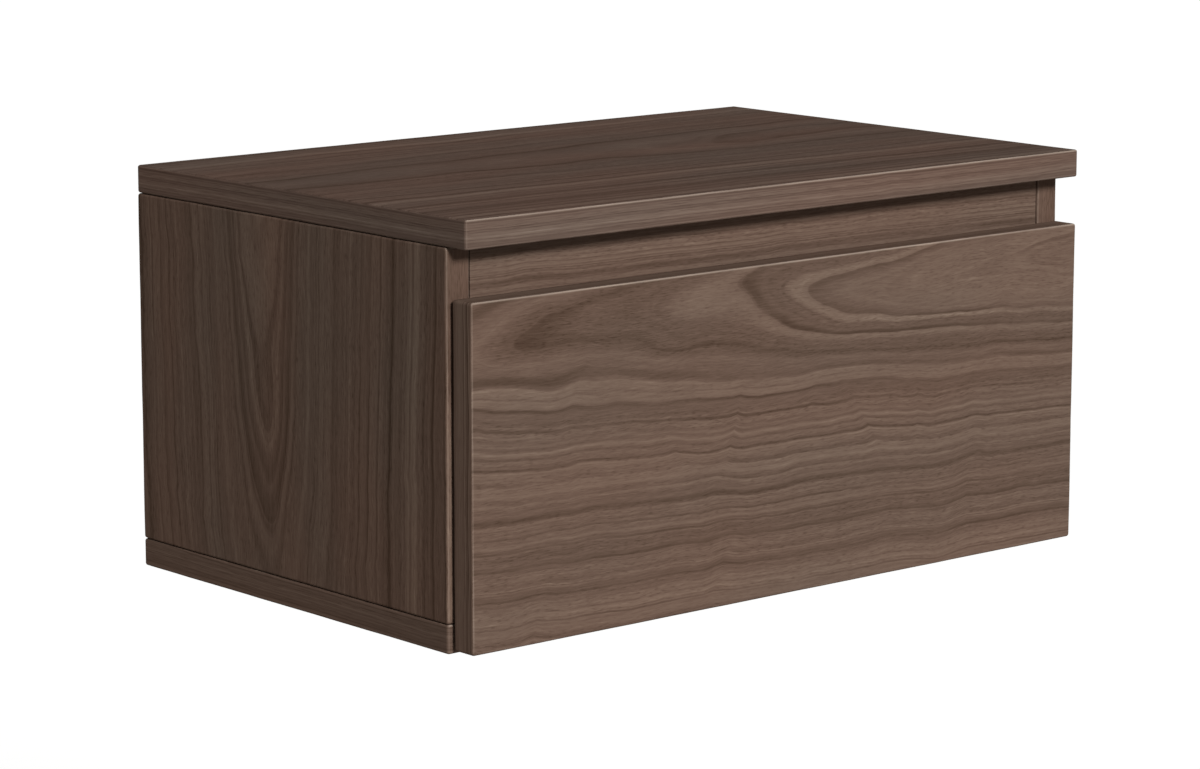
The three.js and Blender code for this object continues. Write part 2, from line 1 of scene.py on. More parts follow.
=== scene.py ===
import json
import math
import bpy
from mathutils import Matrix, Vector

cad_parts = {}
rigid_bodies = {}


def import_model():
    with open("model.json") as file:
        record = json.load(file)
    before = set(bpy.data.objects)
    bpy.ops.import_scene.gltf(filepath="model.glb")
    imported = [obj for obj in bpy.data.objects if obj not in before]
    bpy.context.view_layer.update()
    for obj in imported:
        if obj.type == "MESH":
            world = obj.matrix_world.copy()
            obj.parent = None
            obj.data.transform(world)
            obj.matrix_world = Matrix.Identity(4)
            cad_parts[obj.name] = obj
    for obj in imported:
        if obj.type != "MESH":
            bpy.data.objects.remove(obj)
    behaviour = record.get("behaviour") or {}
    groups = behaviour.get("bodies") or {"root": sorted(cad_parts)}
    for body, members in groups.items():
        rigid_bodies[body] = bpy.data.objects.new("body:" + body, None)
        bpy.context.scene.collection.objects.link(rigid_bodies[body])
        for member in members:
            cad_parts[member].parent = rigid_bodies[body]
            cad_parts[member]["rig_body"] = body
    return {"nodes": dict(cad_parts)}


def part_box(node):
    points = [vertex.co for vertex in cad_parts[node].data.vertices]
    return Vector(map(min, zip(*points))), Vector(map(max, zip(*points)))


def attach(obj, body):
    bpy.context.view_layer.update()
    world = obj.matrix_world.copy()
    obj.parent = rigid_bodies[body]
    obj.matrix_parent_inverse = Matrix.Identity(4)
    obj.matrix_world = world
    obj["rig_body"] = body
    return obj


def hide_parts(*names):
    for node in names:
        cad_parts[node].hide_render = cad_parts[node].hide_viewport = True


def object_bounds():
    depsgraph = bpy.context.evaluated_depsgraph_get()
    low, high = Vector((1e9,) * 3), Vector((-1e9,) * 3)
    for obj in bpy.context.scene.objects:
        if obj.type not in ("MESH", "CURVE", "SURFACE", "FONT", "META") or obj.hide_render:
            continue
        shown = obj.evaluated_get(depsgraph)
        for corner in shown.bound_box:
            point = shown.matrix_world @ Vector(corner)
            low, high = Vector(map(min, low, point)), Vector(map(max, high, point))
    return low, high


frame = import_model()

from fnmatch import fnmatch
from functools import partial

import bpy
import numpy as np

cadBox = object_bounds()
mm = 0.001
fullTurn = 2 * math.pi

# Camera, light and floor

view = {
    'place': (-1.7466, -2.2001, 0.4434),
    'pitch': 10.28,   # degrees that it looks down
    'heading': -40.5,
    'lens': 123.7,
    'sensor': 36,
}
lighting = {
    'ambient': 0.1,                  # evenly from all round
    'key': (2.86, -13, 27.5, 13),    # strength, degrees round from the front, degrees up, softness
    'backFill': (2.2, 140, 7, 30),   # keeps the back and the right side readable
}
floorShape = {
    'drop': 0.7,                            # below the case
    'radius': 14, 'corners': 64,
    'seenGrey': '#8a8a88', 'glow': 0.86,    # for the camera
    'grey': '#c2bfbb',                      # for the light that it throws back
}


# sRGB hex to linear colour
def linear(colour):
    share = np.array([int(colour[i:i + 2], 16) for i in (1, 3, 5)]) / 255
    channels = np.where(share <= 0.04045, share / 12.92, ((share + 0.055) / 1.055) ** 2.4)
    return (*channels.tolist(), 1.0)


# Adds one node: its inputs are values or other nodes' outputs, stops are a ramp's places and
# colours, and the rest are the node's own settings. Gives back the output that is wanted.
def addNode(tree, kind, inputs=(), output=0, stops=(), **settings):
    node = tree.nodes.new(kind)
    for name, value in settings.items():
        setattr(node, name, value)
    for key, value in dict(inputs).items():
        if isinstance(value, bpy.types.NodeSocket):
            tree.links.new(value, node.inputs[key])
        else:
            node.inputs[key].default_value = value
    for index, (place, colour) in enumerate(stops):
        ramp = node.color_ramp.elements
        element = ramp[index] if index < len(ramp) else ramp.new(place)
        element.position = place
        element.color = linear(colour)
    return node.outputs[output] if len(node.outputs) else node


# Settings of a mix of two colours, plain or one times the other
mixed = {'output': 2, 'data_type': 'RGBA'}
multiplied = {**mixed, 'blend_type': 'MULTIPLY'}


# A material without nodes, and the function that adds its nodes
def newMaterial(name):
    material = bpy.data.materials.new(name)
    material.use_nodes = True
    material.node_tree.nodes.clear()
    return material, partial(addNode, material.node_tree)


# Puts a mesh, lamp or camera into the scene as an object
def addObject(name, data):
    added = bpy.data.objects.new(name, data)
    bpy.context.scene.collection.objects.link(added)
    return added


# The photo's camera. Its tilt from straight down is 90 degrees less the pitch.
def placeCamera():
    lens = bpy.data.cameras.new('camera')
    lens.lens, lens.sensor_width = view['lens'], view['sensor']
    camera = addObject('camera', lens)
    camera.location = view['place']
    camera.rotation_euler = (math.radians(90 - view['pitch']), 0, math.radians(view['heading']))
    bpy.context.scene.camera = camera


# A lamp far away, by where it shines from: degrees round from the front, and degrees up
def addLamp(name, strength, around, up, softness):
    lamp = bpy.data.lights.new(name, 'SUN')
    lamp.energy, lamp.angle = strength, math.radians(softness)
    addObject(name, lamp).rotation_euler = (math.radians(90 - up), 0, math.radians(around))


# White where the camera, a mirror or glass sees it, and an even grey light for the rest
def makeWorld():
    world = bpy.data.worlds.new('studio')
    bpy.context.scene.world = world
    world.use_nodes = True
    world.node_tree.nodes.clear()
    add = partial(addNode, world.node_tree)
    seen = add('ShaderNodeMath', {
        0: add('ShaderNodeLightPath', output='Is Camera Ray'),
        1: add('ShaderNodeLightPath', output='Is Glossy Ray'),
    }, operation='MAXIMUM')
    seen = add('ShaderNodeMath', {
        0: seen,
        1: add('ShaderNodeLightPath', output='Is Transmission Ray'),
    }, operation='MAXIMUM')
    strength = add('ShaderNodeMix', {0: seen, 2: lighting['ambient'], 3: 1.0})
    studio = add('ShaderNodeBackground', {'Strength': strength, 'Color': (1, 1, 1, 1)})
    add('ShaderNodeOutputWorld', {'Surface': studio})


# Angles evenly spread over a full turn
def turnAngles(count):
    return np.arange(count) / count * fullTurn


# A pale floor below the hung case. The camera sees it near white with the case's soft shadow,
# and from below it is clear.
def makeFloor():
    height = cadBox[0].z - floorShape['drop']
    angle = turnAngles(floorShape['corners'])
    rim = np.stack([np.cos(angle), np.sin(angle), angle * 0], -1) * floorShape['radius'] + (0, 0, height)
    mesh = bpy.data.meshes.new('floor')
    mesh.from_pydata(rim.tolist(), [], [list(range(floorShape['corners']))])
    floor = addObject('floor', mesh)
    material, add = newMaterial('painted studio floor')
    seen = add('ShaderNodeLightPath', output='Is Camera Ray')
    shade = add('ShaderNodeBsdfDiffuse', {'Color': linear(floorShape['seenGrey'])})
    glow = add('ShaderNodeEmission', {'Color': (1, 1, 1, 1), 'Strength': floorShape['glow']})
    lit = add('ShaderNodeAddShader', {0: shade, 1: glow})
    matt = add('ShaderNodeBsdfDiffuse', {'Color': linear(floorShape['grey'])})
    above = add('ShaderNodeMixShader', {0: seen, 1: matt, 2: lit})
    below = add('ShaderNodeNewGeometry', output='Backfacing')
    clear = add('ShaderNodeBsdfTransparent')
    surface = add('ShaderNodeMixShader', {0: below, 1: above, 2: clear})
    add('ShaderNodeOutputMaterial', {'Surface': surface})
    mesh.materials.append(material)


bpy.context.scene.view_settings.view_transform = 'Standard'
placeCamera()
makeWorld()
addLamp('key', *lighting['key'])
addLamp('back fill', *lighting['backFill'])
makeFloor()
print('camera, light and floor placed')


# One closed surface from rings of corners: four-sided faces between each ring and the next, and
# a flat face across the first and the last. Faces turn outwards by the sign of the volume, which
# is a sixth of the sum of a . (b x c) over the triangles.
def closedSurface(rings):
    rows, columns = rings.shape[:2]
    corners = rings.reshape(-1, 3)
    row, column = np.meshgrid(np.arange(rows - 1), np.arange(columns), indexing='ij')
    onward = (column + 1) % columns
    walls = np.stack([
        row * columns + column,
        row * columns + onward,
        (row + 1) * columns + onward,
        (row + 1) * columns + column,
    ], -1).reshape(-1, 4)
    ends = [np.arange(columns)[::-1], np.arange((rows - 1) * columns, rows * columns)]
    middle = corners.mean(0)
    a, b, c, d = (corners[walls[:, i]] - middle for i in range(4))
    volume = (a * np.cross(b, c)).sum() + (a * np.cross(c, d)).sum()
    for end in ends:
        rim = corners[end] - middle
        volume += (rim[0] * np.cross(rim[1:-1], rim[2:])).sum()
    faces = walls.tolist() + [end.tolist() for end in ends]
    if volume < 0:
        faces = [face[::-1] for face in faces]
    return corners, faces


# An object from one or more closed surfaces
def makeObject(name, *surfaces):
    corners, faces, first = [], [], 0
    for surfaceCorners, surfaceFaces in surfaces:
        corners.append(surfaceCorners)
        faces += [[first + corner for corner in face] for face in surfaceFaces]
        first += len(surfaceCorners)
    mesh = bpy.data.meshes.new(name)
    mesh.from_pydata(np.concatenate(corners).tolist(), [], faces)
    return addObject(name, mesh)


# Cuts one object away from a piece and removes it
def cutAway(piece, cutter):
    cut = piece.modifiers.new('cut', 'BOOLEAN')
    cut.operation, cut.solver, cut.object, cut.use_self = 'DIFFERENCE', 'EXACT', cutter, True
    seen = piece.evaluated_get(bpy.context.evaluated_depsgraph_get())
    mesh = bpy.data.meshes.new_from_object(seen)
    mesh.name = piece.name
    piece.modifiers.clear()
    old, piece.data = piece.data, mesh
    bpy.data.meshes.remove(old)
    bpy.data.objects.remove(cutter)


# Gives a piece smooth shading with hard lines where faces meet at more than an angle, its
# material, and the body of the CAD node or nodes that it stands for
def finishPiece(piece, nodes, material, sharpAngle=32):
    piece.data.shade_smooth()
    piece.data.set_sharp_from_angle(angle=math.radians(sharpAngle))
    piece.modifiers.new('even shading', 'WEIGHTED_NORMAL').keep_sharp = True
    piece.data.materials.clear()
    piece.data.materials.append(material)
    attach(piece, frame['nodes'][nodes[0]]['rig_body'])
    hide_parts(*nodes)


# A CAD node's box as two arrays
def boxOf(node):
    low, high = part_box(node)
    return np.array(low), np.array(high)


# A polygon with its corners rounded: each corner's two tangent points lie radius / tan(half the
# corner's angle) from it, and the arc between them is turned about the centre they share
def roundedOutline(points, radius, steps=4):
    points = np.array(points, float)
    radius = np.broadcast_to(np.array(radius, float), len(points))[:, None]
    back = np.roll(points, 1, 0) - points
    on = np.roll(points, -1, 0) - points
    back /= np.linalg.norm(back, axis=1, keepdims=True)
    on /= np.linalg.norm(on, axis=1, keepdims=True)
    half = np.arccos(np.clip((back * on).sum(1, keepdims=True), -1, 1)) / 2
    bisector = (back + on) / np.linalg.norm(back + on, axis=1, keepdims=True)
    centre = points + bisector * radius / np.sin(half)
    first = points + back * radius / np.tan(half) - centre
    last = points + on * radius / np.tan(half) - centre
    arc = math.pi - 2 * half
    share = np.linspace(0, 1, steps + 1)[None, :, None]
    arc, first, last, centre = (array[:, None, :] for array in (arc, first, last, centre))
    rounded = centre + (np.sin((1 - share) * arc) * first + np.sin(share * arc) * last) / np.sin(arc)
    return rounded.reshape(-1, 2)


# Rings of a bar: one outline carried along a straight line, and drawn in by the arris at each
# end. The outline's two axes and the bar's own are given as axis numbers.
def barRings(outline, axes, start, end, arris):
    tangent = np.roll(outline, -1, 0) - np.roll(outline, 1, 0)
    normal = np.stack([tangent[:, 1], -tangent[:, 0]], -1)
    normal /= np.linalg.norm(normal, axis=1, keepdims=True)
    x, y = outline.T
    if (x * np.roll(y, -1) - y * np.roll(x, -1)).sum() < 0:
        normal = -normal
    angle = np.linspace(0, math.pi / 2, 3)
    inset = arris * (1 - np.sin(angle))
    along = arris * (1 - np.cos(angle))
    insets = np.concatenate([inset, inset[::-1]])
    places = np.concatenate([start + along, end - along[::-1]])
    rings = np.zeros((len(insets), len(outline), 3))
    rings[:, :, axes[:2]] = outline[None] - normal[None] * insets[:, None, None]
    rings[:, :, axes[2]] = places[:, None]
    return rings


# Rings of a round shape about the z axis: radius times cosine and sine, at each height
def turnedRings(radii, heights, sides):
    angle = turnAngles(sides)
    radii = np.broadcast_to(np.array(radii, float).reshape(len(heights), -1), (len(heights), sides))
    heights = np.broadcast_to(np.array(heights, float).reshape(len(heights), -1), radii.shape)
    return np.stack([radii * np.cos(angle), radii * np.sin(angle), heights], -1)


# A round closed surface at a place, with its z axis turned to lie along a direction
def turnedSurface(radii, heights, sides, place, direction):
    direction = np.array(direction, float)
    side = np.roll(np.abs(direction), 1)
    other = np.cross(direction, side)
    return closedSurface(turnedRings(radii, heights, sides) @ np.stack([side, other, direction]) + place)


# Rings of a ball, nearly closed at its poles
def ballRings(radius, gap, rows, sides):
    polar = np.linspace(gap, math.pi - gap, rows)
    return turnedRings(radius * np.sin(polar), radius * np.cos(polar), sides)


# Radii of bores
bore = {'dowel': 4.3 * mm, 'cam': 7.8 * mm, 'shank': 3.8 * mm, 'thread': 3.2 * mm, 'screw': 2.3 * mm}
boreSides = 32
room = 0.3 * mm     # left by a cut round or past what lies in it
beyond = 2 * mm     # by which a cutter stands out of the piece


# Cylinders and blocks to cut with. A bore follows the CAD node that lies in it, along one axis
# and past both ends.
def boreSurface(node, radius, axis, past=room):
    low, high = boxOf(node)
    half = (high - low)[axis] / 2 + past
    return turnedSurface([radius, radius], [-half, half], boreSides, (low + high) / 2, np.eye(3)[axis])


def blockSurface(low, high):
    outline = [(low[0], low[1]), (high[0], low[1]), (high[0], high[1]), (low[0], high[1])]
    return closedSurface(barRings(np.array(outline), [0, 1, 2], low[2], high[2], 0))


# Each board is cut from a log: rings run round a pith line that leans a little, so they show as
# straight lines, waves or tongues on a face, and as arcs on an end.
walnut = {
    'finish': 'oiled walnut',   # mid grey-brown and dead matt, with paler arrises that are partly rubbed wear and partly a painted highlight
    'stops': ((0.0, '#4c3b31'), (0.25, '#5d4b40'), (0.5, '#6d594e'), (0.75, '#7e6a5d'), (1.0, '#978374')),
    'warm': '#fff8f4', 'cool': '#f4fafa',
    'ringSpacing': 5.0,         # mm
    'grade': ((0.08, 0.66), (0.4, 0.6), (0.74, 0.46), (0.92, 0.0)),   # tone across a ring
    'sway': (11, (62, 150, 90)),     # mm by which rings stray sideways, and over how many mm
    'swell': (19, (110, 50, 40)),    # and in depth, which opens tongues near the pith
    'crest': (2.9, (60, 130, 90)),   # and in small sharp peaks
    'band': 0.54, 'broad': 0.5, 'edge': 0.3, 'step': 0.5, 'fibre': 0.46, 'pore': 0.15, 'fleck': 0.07,
    'poreSize': (5.0, 0.7),     # real pores are 0.2 mm wide, drawn coarser so that they show
    'fibreSize': (15.0, 1.05),
    # the pale grey and its share paint the arrises paler, as wear and as a painted highlight
    'roughness': (0.6, 0.75), 'gloss': 0.0, 'wearAndHighlightGrey': '#cfbdad', 'wearAndHighlight': 0.8, 'relief': 0.05 * mm,
}
birch = {
    'finish': 'lacquered birch',     # pale and even, with faint wide rings and short brown flecks
    'stops': ((0.0, '#b9a07c'), (0.3, '#d5c09b'), (0.5, '#e0ceac'), (0.7, '#e6d6b8'), (1.0, '#eee2c9')),
    'warm': '#fff6e6', 'cool': '#fbfbf2',
    'ringSpacing': 7.0,
    'grade': ((0.2, 0.6), (0.6, 0.5), (0.9, 0.2)),
    'sway': (14, (120, 90, 60)),
    'swell': (22, (130, 60, 60)),
    'crest': (0, (80, 80, 80)),
    'band': 0.5, 'broad': 0.4, 'edge': 0.3, 'step': 0.12, 'fibre': 0.3, 'pore': 0.15, 'fleck': 0.1,
    'poreSize': (4.0, 0.4),
    'fibreSize': (22.0, 0.8),
    # the pale grey and its share paint the arrises paler, as wear and as a painted highlight
    'roughness': (0.38, 0.5), 'gloss': 0.4, 'wearAndHighlightGrey': '#efe3cc', 'wearAndHighlight': 0.3, 'relief': 0.03 * mm,
}

alongX = {'turn': (0, 0, 0)}
uprightFront = {'turn': (math.radians(90), 0, 0)}     # grain along x, across it z
uprightSide = {'turn': (0, math.radians(-90), 0)}     # grain along z, across it y

# How all the woods grow. Spans are in mm along and across the grain, and scales are per ring.
growth = {
    'strays': ((0.0, 'sway', 3.0), (9.0, 'swell', 1.5), (23.0, 'crest', 0.0), (31.0, 'crest', 0.0)),
    'crestReach': 0.13, 'crestPower': 1.6,     # narrow peaks
    'crestPart': (-0.08, 0.1),                 # only in part of the wood
    'unevenScale': 0.37, 'unevenRings': 1.6,   # wide and narrow years
    'bandScale': 1.1, 'broadScale': 0.23, 'porousScale': 0.45,
    'clearSpan': (110, 26, 26), 'clearShare': (0.3, 1.25),   # where rings show faintly or clearly
    'grades': ((1.0, -0.3), (0.49, 0.4)),      # curves per ring, and the least share of each
    'fleckShift': (41, 17, 29),                # so that flecks don't lie on pores
    'tintSpan': (230, 60, 60),
    # the wear and painted highlight on the arrises vary slowly along each edge
    'wearAndHighlightVaryPerMm': 0.008, 'wearAndHighlightVaryShare': (0.45, 1.0),
    'highlightFrom': (0, -0.92, 0.6), 'highlightFacing': (0.6, 1.05),   # painted highlight: arrises that face the key light, from the front and above, are painted palest
    'polish': -0.16,                           # roughness that rubbing takes away
}
# The strip round a lipped board: how far its faces turn from the board's, and how its wood is
# drawn out along the edge, packed closer through it, and set off from the pith
lipping = {'turned': 0.6, 'along': 0.5, 'through': 2.0, 'offset': 40.0}


# A solid wood material for one board. Ring number = distance from the pith line / ring spacing,
# after slow noise has bent the wood sideways (sway), in depth (swell) and in peaks (crest). Its
# tone is noise of the ring number, a curve from pale to dark over each ring and over each two,
# noise stretched along the grain for fibres, and thresholded noise for pores. Wild scales all three
# bends, drift is the share of the warm and cool tints, lift makes the whole board paler. A lipped
# board has a strip all round its edge, paler by that tone, with the grain along the edge.
def timber(
    name, species, low, high, turn, pith, lean=(0.0, 0.0), seed=0.0, spacing=1.0, wild=1.0, drift=0.4,
    shade='#ffffff', lift=0.0, lipped=None,
):
    material, add = newMaterial(f"{species['finish']} {name}")
    place = add('ShaderNodeTexCoord', output='Object')
    facing = add('ShaderNodeTexCoord', output='Normal')
    wood = add('ShaderNodeMapping', {
        'Vector': place,
        'Location': ((low + high) / 2).tolist(),
        'Rotation': turn,
        'Scale': (mm, mm, mm),
    }, vector_type='TEXTURE')
    if lipped is not None:
        thin = 'XYZ'[int(np.argmin(high - low))]
        edge = add('ShaderNodeSeparateXYZ', {0: facing}, output=thin)
        edge = add('ShaderNodeMath', {0: edge}, operation='ABSOLUTE')
        edge = add('ShaderNodeMath', {0: edge, 1: lipping['turned']}, operation='LESS_THAN')
        sides = add('ShaderNodeSeparateXYZ', {0: wood}).node.outputs
        run = add('ShaderNodeMath', {0: sides['X'], 1: sides['Y']}, operation='ADD')
        run = add('ShaderNodeMath', {0: run, 1: lipping['along']}, operation='MULTIPLY')
        depth = add('ShaderNodeMath', {
            0: sides['Z'],
            1: lipping['through'],
            2: pith[0] + lipping['offset'],
        }, operation='MULTIPLY_ADD')
        strip = add('ShaderNodeCombineXYZ', {'X': run, 'Y': depth, 'Z': pith[1]})
        wood = add('ShaderNodeMix', {0: edge, 4: wood, 5: strip}, output=1, data_type='VECTOR')
    strays = []
    for offset, way, detail in growth['strays']:
        slow = add('ShaderNodeVectorMath', {
            0: wood,
            1: [1 / span for span in species[way][1]],
            2: (seed * 3.1 + offset, seed * 1.7, seed),
        }, operation='MULTIPLY_ADD')
        stray = add('ShaderNodeTexNoise', {'Vector': slow, 'Scale': 1.0, 'Detail': detail, 'Roughness': 0.45})
        strays.append(add('ShaderNodeMath', {0: stray, 1: 0.5}, operation='SUBTRACT'))
    sway, swell, crest, some = strays
    crest = add('ShaderNodeMath', {0: crest}, operation='ABSOLUTE')
    crest = add('ShaderNodeMapRange', {0: crest, 1: 0.0, 2: growth['crestReach'], 3: 1.0, 4: 0.0})
    crest = add('ShaderNodeMath', {0: crest, 1: growth['crestPower']}, operation='POWER')
    least, most = growth['crestPart']
    some = add('ShaderNodeMapRange', {0: some, 1: least, 2: most})
    crest = add('ShaderNodeMath', {0: crest, 1: some}, operation='MULTIPLY')
    crest = add('ShaderNodeMath', {0: crest, 1: -species['crest'][0] * wild}, operation='MULTIPLY')
    sway = add('ShaderNodeMath', {0: sway, 1: species['sway'][0] * wild, 2: crest}, operation='MULTIPLY_ADD')
    sideways = add('ShaderNodeCombineXYZ', {'Y': sway})
    bent = add('ShaderNodeVectorMath', {0: wood, 1: sideways}, operation='ADD')
    fromPith = add('ShaderNodeVectorMath', {0: bent, 1: (0, *pith)}, operation='SUBTRACT')
    across = add('ShaderNodeVectorMath', {0: fromPith, 1: (lean[0], 1, 0)}, output=1, operation='DOT_PRODUCT')
    deep = add('ShaderNodeVectorMath', {0: fromPith, 1: (lean[1], 0, 1)}, output=1, operation='DOT_PRODUCT')
    deep = add('ShaderNodeMath', {0: swell, 1: species['swell'][0] * wild, 2: deep}, operation='MULTIPLY_ADD')
    flat = add('ShaderNodeCombineXYZ', {'Y': across, 'Z': deep})
    distance = add('ShaderNodeVectorMath', {0: flat}, output=1, operation='LENGTH')
    perMm = 1 / (species['ringSpacing'] * spacing)
    ring = add('ShaderNodeMath', {0: distance, 1: perMm, 2: seed * 7.3}, operation='MULTIPLY_ADD')
    uneven = add('ShaderNodeTexNoise', {
        'W': ring, 'Scale': growth['unevenScale'], 'Detail': 1.0,
    }, noise_dimensions='1D')
    ring = add('ShaderNodeMath', {0: uneven, 1: growth['unevenRings'], 2: ring}, operation='MULTIPLY_ADD')

    band = add('ShaderNodeTexNoise', {
        'W': ring, 'Scale': growth['bandScale'], 'Detail': 3.0, 'Roughness': 0.6,
    }, noise_dimensions='1D')
    broad = add('ShaderNodeTexNoise', {
        'W': ring, 'Scale': growth['broadScale'], 'Detail': 1.0,
    }, noise_dimensions='1D')
    slow = add('ShaderNodeVectorMath', {
        0: bent,
        1: [1 / span for span in growth['clearSpan']],
        2: (seed, 5, 3),
    }, operation='MULTIPLY_ADD')
    clear = add('ShaderNodeTexNoise', {'Vector': slow, 'Scale': 1.0, 'Detail': 1.5})
    faint, full = growth['clearShare']
    clear = add('ShaderNodeMapRange', {0: clear, 1: 0.34, 2: 0.66, 3: faint, 4: full})
    grades = []   # pale at the start of each ring and dark at its end, and so for each two rings
    for rate, least in growth['grades']:
        count = add('ShaderNodeMath', {0: ring, 1: rate}, operation='MULTIPLY')
        grown = add('ShaderNodeMath', {0: count}, operation='FRACT')
        number = add('ShaderNodeMath', {0: count}, operation='FLOOR')
        chance = add('ShaderNodeTexWhiteNoise', {'W': number}, noise_dimensions='1D')
        chance = add('ShaderNodeMath', {0: chance, 1: 1 - least, 2: least}, operation='MULTIPLY_ADD')
        grade = add('ShaderNodeFloatCurve', {'Value': grown})
        curve = grade.node.mapping.curves[0]
        curve.points[0].location, curve.points[1].location = (0.0, 0.5), (1.0, 0.5)
        for spot in species['grade']:
            curve.points.new(*spot)
        grade.node.mapping.update()
        grade = add('ShaderNodeMath', {0: grade, 1: 0.5}, operation='SUBTRACT')
        grade = add('ShaderNodeMath', {0: grade, 1: chance}, operation='MULTIPLY')
        grades.append(add('ShaderNodeMath', {0: grade, 1: clear}, operation='MULTIPLY'))
    fine, coarse = grades
    long, wide = species['fibreSize']
    near = add('ShaderNodeVectorMath', {0: bent, 1: (1 / long, 1 / wide, 1 / wide)}, operation='MULTIPLY')
    fibre = add('ShaderNodeTexNoise', {'Vector': near, 'Scale': 1.0, 'Detail': 3.0, 'Roughness': 0.6})
    long, wide = species['poreSize']
    near = add('ShaderNodeVectorMath', {0: bent, 1: (1 / long, 1 / wide, 1 / wide)}, operation='MULTIPLY')
    pore = add('ShaderNodeTexNoise', {'Vector': near, 'Scale': 1.0, 'Detail': 0.0})
    pore = add('ShaderNodeMapRange', {0: pore, 1: 0.56, 2: 0.78})
    porous = add('ShaderNodeTexNoise', {
        'W': ring, 'Scale': growth['porousScale'], 'Detail': 1.0,
    }, noise_dimensions='1D')
    porous = add('ShaderNodeMapRange', {0: porous, 1: 0.4, 2: 0.6, 3: 0.65, 4: 1.4})
    pore = add('ShaderNodeMath', {0: pore, 1: porous}, operation='MULTIPLY')
    near = add('ShaderNodeVectorMath', {0: near, 1: growth['fleckShift']}, operation='ADD')
    fleck = add('ShaderNodeTexNoise', {'Vector': near, 'Scale': 0.8, 'Detail': 0.0})
    fleck = add('ShaderNodeMapRange', {0: fleck, 1: 0.52, 2: 0.78})
    fleck = add('ShaderNodeMath', {0: fleck, 1: porous}, operation='MULTIPLY')

    tone = 0.5
    middle = (species['band'] + species['broad'] + species['fibre']) / 2
    for part, weight in (
        (band, species['band']), (broad, species['broad']), (fine, species['edge']),
        (coarse, species['step']), (fibre, species['fibre']), (pore, -species['pore']),
        (fleck, species['fleck']),
    ):
        tone = add('ShaderNodeMath', {0: part, 1: weight, 2: tone}, operation='MULTIPLY_ADD')
    tone = add('ShaderNodeMath', {0: tone, 1: lift - middle}, operation='ADD')
    if lipped is not None:
        tone = add('ShaderNodeMath', {0: edge, 1: lipped, 2: tone}, operation='MULTIPLY_ADD')
    colour = add('ShaderNodeValToRGB', {0: tone}, stops=species['stops'])
    slow = add('ShaderNodeVectorMath', {
        0: bent, 1: [1 / span for span in growth['tintSpan']],
    }, operation='MULTIPLY')
    hue = add('ShaderNodeTexNoise', {'Vector': slow, 'Scale': 1.0, 'Detail': 1.0})
    hue = add('ShaderNodeMapRange', {0: hue, 1: 0.36, 2: 0.64})
    tint = add('ShaderNodeMix', {0: hue, 6: linear(species['warm']), 7: linear(species['cool'])}, **mixed)
    colour = add('ShaderNodeMix', {0: drift, 6: colour, 7: tint}, **multiplied)
    # shade tints the whole board; on the top board it is a painted cool sheen from above
    colour = add('ShaderNodeMix', {0: 1.0, 6: colour, 7: linear(shade)}, **multiplied)
    # Paler grey arrises: partly wear, partly a painted highlight in place of the key light's sheen, most
    # where they face the front and above
    arris = add('ShaderNodeAttribute', output='Fac', attribute_name='arris')
    wearAndHighlightVary = add('ShaderNodeTexNoise', {
        'Vector': wood, 'Scale': growth['wearAndHighlightVaryPerMm'], 'Detail': 5.0, 'Roughness': 0.6,
    })
    least, most = growth['wearAndHighlightVaryShare']
    wearAndHighlightVary = add('ShaderNodeMapRange', {0: wearAndHighlightVary, 1: 0.35, 2: 0.65, 3: least, 4: most})
    highlightFacing = add('ShaderNodeVectorMath', {
        0: facing, 1: growth['highlightFrom'],
    }, output=1, operation='DOT_PRODUCT')
    least, most = growth['highlightFacing']
    highlightFacing = add('ShaderNodeMapRange', {0: highlightFacing, 1: least, 2: most})
    wearAndHighlight = add('ShaderNodeMath', {0: arris, 1: wearAndHighlightVary}, operation='MULTIPLY')
    wearAndHighlight = add('ShaderNodeMath', {0: wearAndHighlight, 1: highlightFacing}, operation='MULTIPLY')
    wearAndHighlightShare = add('ShaderNodeMath', {0: wearAndHighlight, 1: species['wearAndHighlight']}, operation='MULTIPLY')
    # painted highlight and wear: the arris colour is mixed towards a pale grey
    colour = add('ShaderNodeMix', {0: wearAndHighlightShare, 6: colour, 7: linear(species['wearAndHighlightGrey'])}, **mixed)
    smooth, rough = species['roughness']
    roughness = add('ShaderNodeMapRange', {0: fibre, 1: 0.3, 2: 0.7, 3: smooth, 4: rough})
    roughness = add('ShaderNodeMath', {0: wearAndHighlight, 1: growth['polish'], 2: roughness}, operation='MULTIPLY_ADD')
    height = add('ShaderNodeMath', {0: pore, 1: -1.0, 2: fibre}, operation='MULTIPLY_ADD')
    normal = add('ShaderNodeBump', {'Height': height, 'Strength': 0.5, 'Distance': species['relief']})
    surface = add('ShaderNodeBsdfPrincipled', {
        'Base Color': colour,
        'Roughness': roughness,
        'Specular IOR Level': species['gloss'],
        'Normal': normal,
    })
    add('ShaderNodeOutputMaterial', {'Surface': surface})
    return material


boardShape = {
    'steps': 5,             # facets of a rounded edge
    'cornerShare': 1.3,     # corner radius to arris
    'spacing': 15 * mm,     # between points along an edge
    'jointGap': 0.6 * mm,
    'cutRound': 10 * mm,    # by which the blocks that cut square ends are larger than the board
    'waver': ((0.10, 83 * mm), (0.06, 37 * mm)),   # share of the arris, and the length it varies over
    'palestDepth': 0.7,          # depth into the rounding at which the wear and painted highlight are palest
}


